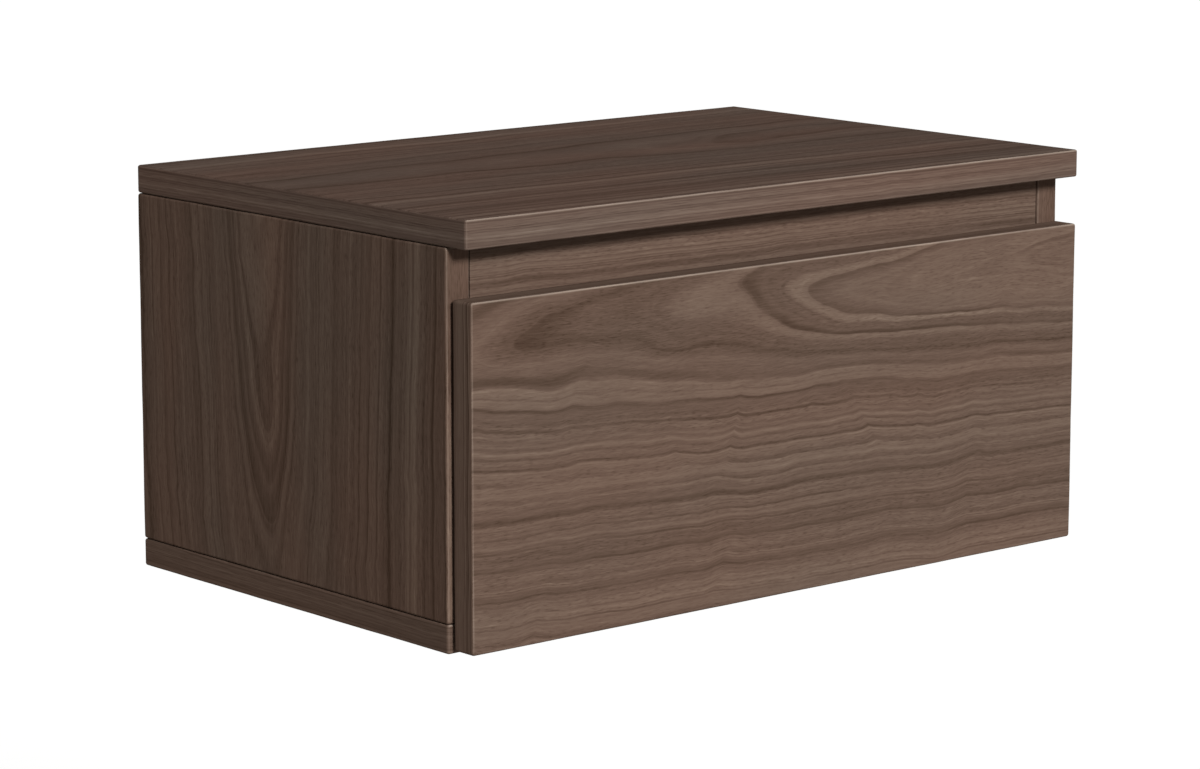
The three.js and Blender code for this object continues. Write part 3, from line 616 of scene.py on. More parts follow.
# Rings of a board: its outline is a rectangle with round corners, and the rings follow a quarter
# circle over each arris, inset = r (1 - sin) and height = r (1 - cos). The radius r is the arris
# times 1 plus two slow sine waves along the edge, as sanding by hand leaves it.
def boardRings(low, high, arris, phase):
    thick = int(np.argmin(high - low))
    first, second = [axis for axis in range(3) if axis != thick]
    size = (high - low)[[first, second]]
    corner = arris * boardShape['cornerShare']
    quarter = np.linspace(0, math.pi / 2, boardShape['steps'] + 1)
    bases, normals = [], []
    for turn in range(4):
        turned = turn * math.pi / 2
        length, width = (size if turn % 2 == 0 else size[::-1])
        count = max(int(width / boardShape['spacing']), 2)
        fan = np.stack([np.cos(quarter + turned), np.sin(quarter + turned)], -1)
        spin = np.array([[math.cos(turned), math.sin(turned)], [-math.sin(turned), math.cos(turned)]])
        straight = np.stack([
            np.full(count, length / 2),
            np.linspace(-width / 2 + corner, width / 2 - corner, count),
        ], -1)[1:-1] @ spin
        bases += [straight, np.array([length / 2 - corner, width / 2 - corner]) @ spin + corner * fan]
        normals += [np.repeat([[1.0, 0.0]], len(straight), 0) @ spin, fan]
    base, normal = np.concatenate(bases), np.concatenate(normals)
    step = np.linalg.norm(np.roll(base, -1, 0) - base, axis=1)
    along = np.concatenate([[0], np.cumsum(step)[:-1]]) / step.sum()
    radius = np.full(len(base), arris)
    for share, wave in boardShape['waver']:
        radius = radius + arris * share * np.sin(fullTurn * along * round(step.sum() / wave) + phase)
    inset = radius * (1 - np.sin(quarter[:, None]))
    rise = radius * (1 - np.cos(quarter[:, None]))
    inset = np.concatenate([inset, inset[::-1]])
    height = np.concatenate([low[thick] + rise, high[thick] - rise[::-1]])
    rings = np.zeros((*inset.shape, 3))
    rings[:, :, [first, second]] = base - normal * inset[:, :, None] + ((low + high) / 2)[[first, second]]
    rings[:, :, thick] = height
    return rings


# How far a point lies into a board's rounded edges: 1 less its second smallest distance to the
# box's faces over the least arris, so 0 on a flat and 1 in the middle of an edge. Square ends
# don't count.
def markArrises(piece, low, high, arris, square):
    mesh = piece.data
    corners = np.empty(len(mesh.vertices) * 3)
    mesh.vertices.foreach_get('co', corners)
    corners = corners.reshape(-1, 3)
    depth = np.minimum(corners - low, high - corners)
    if square is not None:
        depth[:, square] = arris
    least = arris * (1 - sum(share for share, wave in boardShape['waver']))
    # the mask of the paler arrises, which are partly wear and partly a painted highlight
    wearAndHighlight = np.clip((1 - np.sort(depth, axis=1)[:, 1] / least) / boardShape['palestDepth'], 0, 1)
    mesh.attributes.new('arris', 'FLOAT', 'POINT').data.foreach_set('value', wearAndHighlight.astype(np.float32))


# A board in place of its CAD node, with bores for the fittings that lie in it and pockets for
# the panels that stand in it. Its ends along the square axis are cut off straight and a little
# short, so a thin dark line is left where they meet another board.
def makeBoard(node, species, arris, board, phase):
    low, high = boxOf(node)
    longLow, longHigh = low.copy(), high.copy()
    square = board.get('square')
    cuts = []
    if square is not None:
        longLow[square] -= 2 * arris
        longHigh[square] += 2 * arris
        for nearLow in (True, False):
            cutLow, cutHigh = low - boardShape['cutRound'], high + boardShape['cutRound']
            if nearLow:
                cutHigh[square] = low[square] + boardShape['jointGap']
            else:
                cutLow[square] = high[square] - boardShape['jointGap']
            cuts.append(blockSurface(cutLow, cutHigh))
    piece = makeObject(f'{node}_wood', closedSurface(boardRings(longLow, longHigh, arris, phase)))
    for pattern, kind, axis in board.get('bores', ()):
        for name in sorted(frame['nodes']):
            if fnmatch(name, pattern):
                cuts.append(boreSurface(name, bore[kind], axis))
    if 'pocket' in board:
        pocketLow, pocketHigh = boxOf(board['pocket'])
        cuts.append(blockSurface(pocketLow - room, pocketHigh + room))
    if cuts:
        cutAway(piece, makeObject('cutter', *cuts))
    markArrises(piece, low, high, arris, square)
    material = timber(node.replace('_', ' '), species, low, high, **board['figure'])
    finishPiece(piece, [node], material)


# Names of the fittings in a side board, with their bore and its axis
def sideBores(side):
    return (
        (f'dowel_*_{side}_*', 'dowel', 2),
        (f'*_dowel_{side}', 'dowel', 0),
        (f'cam_bolt_*_{side}', 'shank', 2),
        (f'cam_*_{side}', 'cam', 0),   # the bolts' names fit too, so a hollow lies round each bolt
        (f'{side}_runner_case_screw_*', 'screw', 0),
    )


# Boards of the case. A figure's pith is in mm from the board's middle, across the grain and
# into the board.
caseArris = 1.5 * mm
caseBoards = {
    'top_panel': {
        'figure': {
            **alongX, 'pith': (28, -90), 'lean': (0.0, -0.02), 'seed': 10.4,
            # the shade here is a painted cool sheen from above, tinting the top bluish
            'wild': 0.6, 'drift': 0.8, 'shade': '#f9faff', 'lipped': 0.08,
        },
        'bores': (('dowel_top_*', 'dowel', 2), ('cam_bolt_top_*', 'thread', 2)),
        'pocket': 'back_panel',
    },
    'bottom_panel': {
        'figure': {
            **alongX, 'pith': (-60, 55), 'lean': (0.0, 0.015), 'seed': 5.1, 'wild': 0.7, 'lipped': 0.0,
        },
        'bores': (('dowel_bottom_*', 'dowel', 2), ('cam_bolt_bottom_*', 'thread', 2)),
        'pocket': 'back_panel',
    },
    'left_side_panel': {
        'figure': {
            **uprightSide, 'pith': (24, -28), 'lean': (0.0, -0.09), 'seed': 3.7, 'wild': 0.7, 'drift': 0.8,
        },
        'bores': sideBores('left'),
        'pocket': 'back_panel',
    },
    'right_side_panel': {
        'figure': {
            **uprightSide, 'pith': (-20, 31), 'lean': (-0.015, 0.08), 'seed': 8.9, 'wild': 0.6, 'drift': 0.8,
        },
        'bores': sideBores('right'),
        'pocket': 'back_panel',
    },
    'front_rail': {
        'figure': {
            **uprightFront, 'pith': (-150, -30), 'lean': (0.008, 0.0), 'seed': 1.4,
            'spacing': 0.5, 'wild': 0.4, 'lift': 0.08,
        },
        'bores': (('rail_dowel_*', 'dowel', 0),),
        'square': 0,
    },
    'drawer_front': {
        'figure': {
            **uprightFront, 'pith': (84, -38), 'lean': (0.0, -0.07), 'seed': 19.2,
            'spacing': 0.85, 'wild': 0.85, 'lipped': 0.0,
        },
        'bores': (('front_screw_*', 'screw', 1),),
    },
}
for index, (node, board) in enumerate(caseBoards.items()):
    makeBoard(node, walnut, caseArris, board, phase=index * 1.9)
print('walnut boards made')

# Drawer box, back panel and cleats

alongY = {'turn': (math.radians(90), 0, math.radians(90))}   # grain along y, across it z
boxArris = 0.8 * mm
boxBoards = {
    'drawer_left_side': {
        'figure': {**alongY, 'pith': (-140, 40), 'lean': (0.03, 0.02), 'seed': 1.2},
        'bores': (('left_runner_drawer_screw_*', 'screw', 0),),
        'pocket': 'drawer_bottom',
    },
    'drawer_right_side': {
        'figure': {**alongY, 'pith': (120, -50), 'lean': (0.02, 0.03), 'seed': 6.6},
        'bores': (('right_runner_drawer_screw_*', 'screw', 0),),
        'pocket': 'drawer_bottom',
    },
    'drawer_inner_front': {
        'figure': {**uprightFront, 'pith': (-110, 60), 'lean': (0.02, 0.01), 'seed': 3.3},
        'bores': (('front_screw_*', 'screw', 1),),
        'pocket': 'drawer_bottom',
    },
    'drawer_back': {
        'figure': {**uprightFront, 'pith': (130, 45), 'lean': (0.02, 0.02), 'seed': 7.7},
        'pocket': 'drawer_bottom',
    },
    'drawer_bottom': {
        'figure': {**alongX, 'pith': (30, 38), 'lean': (0.01, 0.02), 'seed': 9.4, 'spacing': 1.6},
    },
    'back_panel': {
        'figure': {**uprightFront, 'pith': (-20, 34), 'lean': (0.01, 0.02), 'seed': 5.8, 'spacing': 1.7},
        'bores': (('cleat_screw_*', 'screw', 1),),
    },
}
for index, (node, board) in enumerate(boxBoards.items()):
    makeBoard(node, birch, boxArris, board, phase=index * 2.3)

plywood = {
    'finish': 'birch plywood',   # rotary-cut faces, and edges striped by plies of turned grain
    'ply': 1.38, 'start': 0.98,  # mm, and the share of the first ply that is left on the wall's side
    'stops': ((0.0, '#a98d66'), (0.4, '#cbb38a'), (0.6, '#d8c39d'), (1.0, '#e7d8b9')),
    'endGrain': '#cfb48e', 'endGrainShare': 0.55, 'glue': '#6d5232', 'glueShare': 0.1,
    'fibre': (24.0, 0.8), 'cloudSpan': (140, 5, 22),          # mm
    'fibreTone': 0.6, 'cloudTone': 0.9, 'toneLess': 0.25,
    'gloss': 0.3, 'roughness': 0.62, 'relief': 0.04 * mm,
}


# Plies lie one behind another through y. Ply number = y / ply thickness + start; odd plies turn
# their grain upright, and a thin dark glue line shows where the remainder is near 0.
def plywoodMaterial(name):
    material, add = newMaterial(f"{plywood['finish']} {name}")
    place = add('ShaderNodeTexCoord', output='Object')
    wood = add('ShaderNodeMapping', {'Vector': place, 'Scale': (mm, mm, mm)}, vector_type='TEXTURE')
    through = add('ShaderNodeSeparateXYZ', {0: wood}, output='Y')
    ply = add('ShaderNodeMath', {
        0: through, 1: 1 / plywood['ply'], 2: plywood['start'],
    }, operation='MULTIPLY_ADD')
    number = add('ShaderNodeMath', {0: ply}, operation='FLOOR')
    odd = add('ShaderNodeMath', {0: number, 1: 2.0}, operation='FLOORED_MODULO')
    rest = add('ShaderNodeMath', {0: ply}, operation='FRACT')
    glue = add('ShaderNodeMapRange', {0: rest, 1: plywood['glueShare'], 2: 0.0})
    long, wide = plywood['fibre']
    tones = []
    for scale in ((1 / long, 1 / wide, 1 / wide), (1 / wide, 1 / wide, 1 / long)):
        fine = add('ShaderNodeVectorMath', {0: wood, 1: scale}, operation='MULTIPLY')
        fibre = add('ShaderNodeTexNoise', {'Vector': fine, 'Scale': 1.0, 'Detail': 3.0, 'Roughness': 0.6})
        tones.append(fibre)
    tone = add('ShaderNodeMix', {0: odd, 2: tones[0], 3: tones[1]})
    slow = add('ShaderNodeVectorMath', {
        0: wood, 1: [1 / span for span in plywood['cloudSpan']],
    }, operation='MULTIPLY')
    cloud = add('ShaderNodeTexNoise', {'Vector': slow, 'Scale': 1.0, 'Detail': 2.0, 'Distortion': 0.6})
    cloud = add('ShaderNodeMath', {0: cloud, 1: plywood['cloudTone']}, operation='MULTIPLY')
    tone = add('ShaderNodeMath', {0: tone, 1: plywood['fibreTone'], 2: cloud}, operation='MULTIPLY_ADD')
    tone = add('ShaderNodeMath', {0: tone, 1: plywood['toneLess']}, operation='SUBTRACT')
    colour = add('ShaderNodeValToRGB', {0: tone}, stops=plywood['stops'])
    oddShare = add('ShaderNodeMath', {0: odd, 1: plywood['endGrainShare']}, operation='MULTIPLY')
    dark = add('ShaderNodeMix', {0: 1.0, 6: colour, 7: linear(plywood['endGrain'])}, **multiplied)
    colour = add('ShaderNodeMix', {0: oddShare, 6: colour, 7: dark}, **mixed)
    colour = add('ShaderNodeMix', {0: glue, 6: colour, 7: linear(plywood['glue'])}, **mixed)
    normal = add('ShaderNodeBump', {'Height': tone, 'Strength': 0.5, 'Distance': plywood['relief']})
    surface = add('ShaderNodeBsdfPrincipled', {
        'Base Color': colour,
        'Roughness': plywood['roughness'],
        'Specular IOR Level': plywood['gloss'],
        'Normal': normal,
    })
    add('ShaderNodeOutputMaterial', {'Surface': surface})
    return material


cleats = {
    'arris': 0.5 * mm,
    'wallHoles': (-195 * mm, -65 * mm, 65 * mm, 195 * mm),
    'hole': 2.75 * mm, 'sink': 5.5 * mm, 'sides': 40,
}


# A cleat's section, from its box: the slope of 45 degrees falls towards the room on the wall
# cleat's top, and rises towards the room on the case cleat's foot
def makeCleat(node, hangs):
    low, high = boxOf(node)
    rise = high[1] - low[1]
    if hangs:
        outline = [(low[1], low[2] + rise), (high[1], low[2]), (high[1], high[2]), (low[1], high[2])]
    else:
        outline = [(low[1], low[2]), (high[1], low[2]), (high[1], high[2] - rise), (low[1], high[2])]
    rings = barRings(roundedOutline(outline, cleats['arris']), [1, 2, 0], low[0], high[0], cleats['arris'])
    piece = makeObject(f'{node}_bar', closedSurface(rings))
    if hangs:
        cuts = [boreSurface(f'cleat_dowel_{side}', bore['dowel'], 0) for side in ('left', 'right')]
        cuts += [boreSurface(f'cleat_screw_{side}', bore['screw'], 1) for side in ('left', 'right')]
    else:
        hole, sink = cleats['hole'], cleats['sink']
        radii, depths = [sink + beyond, hole, hole], [-beyond, sink - hole, rise + beyond]
        cuts = [
            turnedSurface(radii, depths, cleats['sides'], (x, low[1], 0), (0, 1, 0))
            for x in cleats['wallHoles']
        ]
    cutAway(piece, makeObject('cutter', *cuts))
    finishPiece(piece, [node], plywoodMaterial(node.replace('_', ' ')))


makeCleat('case_cleat', True)
makeCleat('wall_cleat', False)
print('drawer box, back panel and cleats made')

# Finishes of the fittings. Plating is cloudy on a scale of some mm, and drawn or rolled parts
# have fine lines along y.
finishes = {
    'runner_steel': {
        'name': 'zinc-plated rolled steel',   # bright, blue-white, with faint lines from the rolls
        'stops': ((0.3, '#a3a8ac'), (0.55, '#b9bdc0'), (0.75, '#c9cccd')),
        'cloud': 9.0, 'lines': (40.0, 0.5), 'roughness': (0.24, 0.4), 'relief': 0.012 * mm,
    },
    'cage_steel': {
        'name': 'pressed steel cage with polished balls',
        'stops': ((0.3, '#74787b'), (0.6, '#8d9194'), (0.8, '#a0a4a6')),
        'cloud': 6.0, 'lines': (20.0, 0.5), 'roughness': (0.22, 0.38), 'relief': 0.008 * mm,
    },
    'cam_zinc': {
        'name': 'nickel-plated zinc casting',   # satin, from the grain of the mould
        'stops': ((0.3, '#8b8c8e'), (0.6, '#9f9fa0'), (0.8, '#b0b0b0')),
        'cloud': 3.0, 'lines': (0.7, 0.7), 'roughness': (0.36, 0.5), 'relief': 0.02 * mm,
    },
    'screw_steel': {
        'name': 'zinc-plated screw steel',   # pale and bright
        'stops': ((0.3, '#b0b2b1'), (0.6, '#c4c6c4'), (0.8, '#d2d3d0')),
        'cloud': 2.0, 'lines': (0.5, 0.5), 'roughness': (0.24, 0.38), 'relief': 0.006 * mm,
    },
}


# A metal: its colour is broad noise through a ramp, and its roughness and relief are noise drawn
# out along y
def metalMaterial(look):
    material, add = newMaterial(look['name'])
    place = add('ShaderNodeTexCoord', output='Object')
    part = add('ShaderNodeMapping', {'Vector': place, 'Scale': (mm, mm, mm)}, vector_type='TEXTURE')
    cloud = add('ShaderNodeTexNoise', {
        'Vector': part, 'Scale': 1 / look['cloud'], 'Detail': 4.0, 'Roughness': 0.6,
    })
    colour = add('ShaderNodeValToRGB', {0: cloud}, stops=look['stops'])
    long, wide = look['lines']
    fine = add('ShaderNodeVectorMath', {0: part, 1: (1 / wide, 1 / long, 1 / wide)}, operation='MULTIPLY')
    lines = add('ShaderNodeTexNoise', {'Vector': fine, 'Scale': 1.0, 'Detail': 2.0})
    smooth, rough = look['roughness']
    roughness = add('ShaderNodeMapRange', {0: lines, 1: 0.3, 2: 0.7, 3: smooth, 4: rough})
    normal = add('ShaderNodeBump', {'Height': lines, 'Strength': 0.4, 'Distance': look['relief']})
    surface = add('ShaderNodeBsdfPrincipled', {
        'Base Color': colour, 'Metallic': 1.0, 'Roughness': roughness, 'Normal': normal,
    })
    add('ShaderNodeOutputMaterial', {'Surface': surface})
    return material


metals = {slot: metalMaterial(look) for slot, look in finishes.items()}

beech = {
    'finish': 'pressed beech dowel',   # pinkish brown with short dark rays
    'stops': ((0.0, '#9c6f46'), (0.35, '#bd8f60'), (0.65, '#cda071'), (1.0, '#dcb68b')),
    'warm': '#fff2e8', 'cool': '#fff8ee',
    'ringSpacing': 1.8,
    'grade': ((0.2, 0.6), (0.6, 0.5), (0.9, 0.2)),
    'sway': (2, (30, 12, 12)),
    'swell': (2, (20, 8, 8)),
    'crest': (0, (30, 12, 12)),
    'band': 0.6, 'broad': 0.4, 'edge': 0.2, 'step': 0.1, 'fibre': 0.5, 'pore': 0.25, 'fleck': 0.1,
    'poreSize': (2.0, 0.3),
    'fibreSize': (8.0, 0.4),
    'roughness': (0.6, 0.75), 'gloss': 0.3, 'wearAndHighlightGrey': '#dcb68b', 'wearAndHighlight': 0.0, 'relief': 0.03 * mm,
}
dowelShape = {
    'radius': 4 * mm, 'chamfer': 0.8 * mm, 'sides': 108,
    'flutes': 18, 'fluteDepth': 0.3 * mm, 'plain': 2.5 * mm, 'fade': 0.6 * mm,
}


# A fluted dowel. Radius = full radius less the flute depth times half of 1 + cos(flutes x angle),
# faded out over the plain ends, with a chamfer at each end.
def dowelSurface(node):
    low, high = boxOf(node)
    look = dowelShape
    axis = int(np.argmax(high - low))
    half = (high - low)[axis] / 2
    radius, chamfer, plain = look['radius'], look['chamfer'], look['plain']
    heights = np.array([0, chamfer, plain, plain + look['fade']])
    radii = np.array([radius - chamfer, radius, radius, radius])
    flute = np.array([0, 0, 0, 1.0])
    heights = np.concatenate([heights - half, half - heights[::-1]])
    radii, flute = np.concatenate([radii, radii[::-1]]), np.concatenate([flute, flute[::-1]])
    groove = look['fluteDepth'] * (1 + np.cos(look['flutes'] * turnAngles(look['sides']))) / 2
    radii = radii[:, None] - flute[:, None] * groove
    return turnedSurface(radii, heights, look['sides'], (low + high) / 2, np.eye(3)[axis])


dowelTurns = {0: (0, 0, 0), 2: (0, math.radians(-90), 0)}
for index, node in enumerate(sorted(name for name in frame['nodes'] if 'dowel' in name)):
    low, high = boxOf(node)
    axis = int(np.argmax(high - low))
    material = timber(node.replace('_', ' '), beech, low, high, dowelTurns[axis], (9, 14), seed=index * 1.3)
    finishPiece(makeObject(f'{node}_pin', dowelSurface(node)), [node], material)
print('dowels made')

screwShape = {
    'head': 4 * mm, 'shank': 2 * mm, 'root': 1.5 * mm, 'pitch': 1.6 * mm, 'point': 3 * mm,
    'panHeight': 2.2 * mm, 'panRim': 1.0 * mm, 'panShare': 0.985, 'crownPower': 3.2,
    'panBevel': (0.3 * mm, 0.15 * mm),       # height and width, under a pan head
    'sunkRim': 0.1 * mm,                     # straight edge of a countersunk head
    'runIn': 0.4 * mm, 'fadeIn': 1.5 * mm,   # from the head to the thread, and to its full height
    'plainTip': 0.15, 'blunt': 0.08, 'tip': 0.05 * mm,   # two shares of the point, and its end's radius
    'armWidth': 0.62 * mm, 'armReach': 2.25 * mm, 'recess': 1.5 * mm,
    'sides': 48, 'headRows': 20, 'rowsPerTurn': 8,
}
recessSlope = {'side': 0.4, 'end': 0.55}   # shares of an arm's width and reach


# Depth of a cross recess at x, y: how far the nearer arm's middle line and the arm's end are,
# each eased by 3t^2 - 2t^3 over its slope
def crossRecess(x, y, width, reach, depth):
    off, along = np.minimum(abs(x), abs(y)), np.maximum(abs(x), abs(y))
    side = np.clip((width - off) / (width * recessSlope['side']), 0, 1)
    end = np.clip((reach - along) / (reach * recessSlope['end']), 0, 1)
    return depth * side * side * (3 - 2 * side) * end * end * (3 - 2 * end)


# Height of a thread at each place along it and each angle, from 0 to 1: a triangle wave of
# z / pitch - angle / full turn
def threadCrest(run, angle, pitch):
    saw = (run[:, None] / pitch - angle / fullTurn) % 1
    return 1 - np.abs(2 * saw - 1)


# A screw from the middle of its head to its point, z being the way it is driven. The thread's
# radius is root + (shank - root) x its crest, and it tapers over the point.
def screwSurface(node, direction, pan):
    low, high = boxOf(node)
    axis = int(np.argmax(np.abs(direction)))
    length = (high - low)[axis]
    place = (low + high) / 2
    place[axis] = low[axis] if direction[axis] > 0 else high[axis]
    look = screwShape
    sides, head, shank, point = look['sides'], look['head'], look['shank'], look['point']
    angle = turnAngles(sides)
    share = np.linspace(0.02, 1, look['headRows'])[:, None]
    if pan:
        tall, wide = look['panBevel']
        neck = look['panHeight']
        radius = head * share * look['panShare']
        crown = (neck - look['panRim']) * share ** look['crownPower']
        under, underRadii = np.array([neck - tall, neck]), np.array([head, head - wide])
    else:
        neck = head - shank + look['sunkRim']
        radius = head * share
        crown = 0.0 * share
        under, underRadii = np.array([look['sunkRim'], neck]), np.array([head, shank])
    x, y = radius * np.cos(angle), radius * np.sin(angle)
    top = crown + crossRecess(x, y, look['armWidth'], look['armReach'], look['recess'])
    turns = (length - point - neck) / look['pitch']
    threadEnd = length - point * look['plainTip']
    run = np.linspace(neck + look['runIn'], threadEnd, int(turns * look['rowsPerTurn']))
    crest = threadCrest(run, angle, look['pitch'])
    taper = np.clip((length - run) / point, look['blunt'], 1)[:, None]
    fade = np.clip((run - neck) / look['fadeIn'], 0, 1)[:, None]
    thread = (look['root'] + (shank - look['root']) * (1 - fade + fade * crest)) * taper
    radii = np.concatenate([
        np.broadcast_to(radius, (len(radius), sides)),
        np.broadcast_to(underRadii[:, None], (2, sides)),
        thread,
        np.full((1, sides), look['tip']),
    ])
    heights = np.concatenate([
        np.broadcast_to(top, (len(radius), sides)),
        np.broadcast_to(under[:, None], (2, sides)),
        np.broadcast_to(run[:, None], thread.shape),
        np.full((1, sides), length),
    ])
    return turnedSurface(radii, heights, sides, place, direction)


outwards = {'left': (-1, 0, 0), 'right': (1, 0, 0)}
inwards = {'left': (1, 0, 0), 'right': (-1, 0, 0)}
for node in sorted(name for name in frame['nodes'] if 'screw' in name):
    side = 'left' if 'left' in node else 'right'
    if 'runner_case' in node:
        direction, pan = outwards[side], False
    elif 'runner_drawer' in node:
        direction, pan = inwards[side], False
    elif node.startswith('cleat'):
        direction, pan = (0, 1, 0), True
    else:
        direction, pan = (0, -1, 0), True
    screw = makeObject(f'{node}_turned', screwSurface(node, direction, pan))
    finishPiece(screw, [node], metals['screw_steel'], sharpAngle=50)
print('screws made')

camShape = {
    'radius': 7.5 * mm, 'chamfer': 0.4 * mm, 'sides': 72, 'rows': 26,
    'armWidth': 1.1 * mm, 'armReach': 3.6 * mm, 'recess': 2.6 * mm,
    'groove': (5.6 * mm, 0.5 * mm, 0.35 * mm),   # ring on the face: radius, half width, depth
}
boltShape = {
    'head': 3.2 * mm, 'neck': 1.6 * mm, 'neckEnd': 6 * mm, 'shank': 3.5 * mm, 'bevel': 0.4 * mm,
    'thread': 2.9 * mm, 'root': 2.3 * mm, 'threadLength': 11 * mm, 'pitch': 2.2 * mm,
    'sides': 40, 'rowsPerTurn': 8,
}


# A cam: its face is a polar grid with a cross recess and a ring groove, and its pocket and slots
# are cut away round the bolt's head, which lies in its middle
def makeCam(node, side, up):
    low, high = boxOf(node)
    centre, place = (low + high) / 2, (low + high) / 2
    place[0] = high[0] if side == 'left' else low[0]
    length = (high - low)[0]
    look = camShape
    sides, chamfer = look['sides'], look['chamfer']
    angle = turnAngles(sides)
    share = np.linspace(0, 1, look['rows'])[:, None]
    radius = look['radius'] * np.linspace(0.01, 1, look['rows'])[:, None] - chamfer * share
    ring, half, deep = look['groove']
    groove = deep * np.clip(1 - np.abs(radius - ring) / half, 0, 1)
    x, y = radius * np.cos(angle), radius * np.sin(angle)
    face = groove + crossRecess(x, y, look['armWidth'], look['armReach'], look['recess'])
    radii = np.concatenate([
        np.broadcast_to(radius, face.shape),
        np.full((2, sides), look['radius']),
        np.full((1, sides), look['radius'] - chamfer),
    ])
    heights = np.concatenate([face, np.repeat([[chamfer], [length - chamfer], [length]], sides, 1)])
    cam = makeObject(f'{node}_casting', turnedSurface(radii, heights, sides, place, outwards[side]))
    pocket = boltShape['head'] + room
    neck = boltShape['neck'] + room
    reach = look['radius'] + beyond
    narrow = np.sort([[-neck, -neck, 0], [neck, neck, up * reach]], axis=0) + centre
    wide = np.array([[-pocket, 0, -pocket], [pocket, reach, pocket]]) + centre
    cuts = [closedSurface(ballRings(pocket, 0.05, 16, boreSides) + centre)]
    cuts += [blockSurface(*block) for block in (narrow, wide)]
    cutAway(cam, makeObject('cutter', *cuts))
    finishPiece(cam, [node], metals['cam_zinc'])


# A cam's bolt, from its ball head through neck and shank to its thread
def makeCamBolt(node, up):
    low, high = boxOf(node)
    look = boltShape
    sides, head, neck, shank, bevel = (look[key] for key in ('sides', 'head', 'neck', 'shank', 'bevel'))
    centre = (low + high) / 2
    centre[2] = low[2] + head if up > 0 else high[2] - head
    end = (high - low)[2] - head
    neckEnd, shankEnd = look['neckEnd'], end - look['threadLength']
    polar = np.linspace(0.06, math.pi * 0.82, 14)
    ball = np.stack([head * np.sin(polar), -head * np.cos(polar)], -1)
    turned = (   # radius and height
        (neck, ball[-1, 1] + 0.5 * mm),
        (neck, neckEnd),
        (shank - bevel, neckEnd + 0.5 * mm),
        (shank, neckEnd + 1.0 * mm),
        (shank, shankEnd - 0.7 * mm),
        (shank - bevel, shankEnd - 0.3 * mm),
        (look['root'], shankEnd),
    )
    radii, heights = np.concatenate([ball, turned]).T
    turns = (look['threadLength'] - 1.4 * mm) / look['pitch']
    run = np.linspace(shankEnd + 0.2 * mm, end - 1.2 * mm, int(turns * look['rowsPerTurn']))
    crest = threadCrest(run, turnAngles(sides), look['pitch'])
    radii = np.concatenate([
        np.repeat(radii[:, None], sides, 1),
        look['root'] + (look['thread'] - look['root']) * crest,
        np.full((1, sides), look['root'] - 1.0 * mm),
    ])
    heights = np.concatenate([
        np.repeat(heights[:, None], sides, 1),
        np.repeat(run[:, None], sides, 1),
        np.full((1, sides), end),
    ])
    bolt = makeObject(f'{node}_turned', turnedSurface(radii, heights, sides, centre, (0, 0, up)))
    finishPiece(bolt, [node], metals['screw_steel'], sharpAngle=50)


for level, up in (('top', 1), ('bottom', -1)):
    for side in ('left', 'right'):
        makeCam(f'cam_{level}_{side}', side, up)
        makeCamBolt(f'cam_bolt_{level}_{side}', up)
print('cam fittings made')

bumperShape = {'radius': 4 * mm, 'rim': 0.7 * mm, 'edge': 0.1 * mm, 'rows': 12, 'sides': 48}


# A soft bumper: a short rim, and over it a dome with radius x cos and height x sin of the bend
def makeBumper(node, material):
    low, high = boxOf(node)
    place = (low + high) / 2
    place[1] = low[1]
    radius, rim, edge = bumperShape['radius'], bumperShape['rim'], bumperShape['edge']
    bend = np.linspace(0, math.pi / 2 * 0.97, bumperShape['rows'])
    rise = rim + (high[1] - low[1] - rim) * np.sin(bend) / math.sin(bend[-1])
    radii = np.concatenate([[radius - edge, radius], radius * np.cos(bend)])
    heights = np.concatenate([[0, edge], rise])
    dome = turnedSurface(radii, heights, bumperShape['sides'], place, (0, 1, 0))
    finishPiece(makeObject(f'{node}_dome', dome), [node], material)


# Soft clear polyurethane, slightly cloudy, with a smooth moulded skin
def rubberMaterial():
    material, add = newMaterial('moulded clear polyurethane')
    place = add('ShaderNodeTexCoord', output='Object')
    cloud = add('ShaderNodeTexNoise', {'Vector': place, 'Scale': 600.0, 'Detail': 3.0})
    colour = add('ShaderNodeValToRGB', {0: cloud}, stops=((0.3, '#c3c4be'), (0.7, '#d9dad4')))
    roughness = add('ShaderNodeMapRange', {0: cloud, 1: 0.3, 2: 0.7, 3: 0.3, 4: 0.42})
    surface = add('ShaderNodeBsdfPrincipled', {
        'Base Color': colour, 'Roughness': roughness, 'IOR': 1.48,
        'Subsurface Weight': 0.4, 'Subsurface Scale': 1.5 * mm,
    })
    add('ShaderNodeOutputMaterial', {'Surface': surface})
    return material


rubber = rubberMaterial()
for side in ('left', 'right'):
    makeBumper(f'bumper_{side}', rubber)

runnerShape = {
    'sheet': 1.2 * mm, 'lip': 1.0 * mm, 'endArris': 0.2 * mm,
    'bend': 1.5 * mm, 'insideBend': 0.3 * mm, 'tip': 0.25 * mm,   # radii of a section's corners
    'sink': (6.3 * mm, 14 * mm, 40),   # radius of its mouth, depth, sides
    'access': 5 * mm, 'accessPast': 12 * mm,   # holes through which the case screws are driven
    'ball': 1.6 * mm, 'balls': 5, 'ballPitch': 22 * mm,
    'web': 0.6 * mm, 'arm': 0.8 * mm, 'cageArris': 0.1 * mm,
    'cageCorners': (0.7 * mm, 0.2 * mm, 0.2 * mm, 0.15 * mm),   # radii round one arm
    'window': (12 * mm, 9 * mm, 5 * mm),   # half sizes of the blocks that press out a cage's openings
}


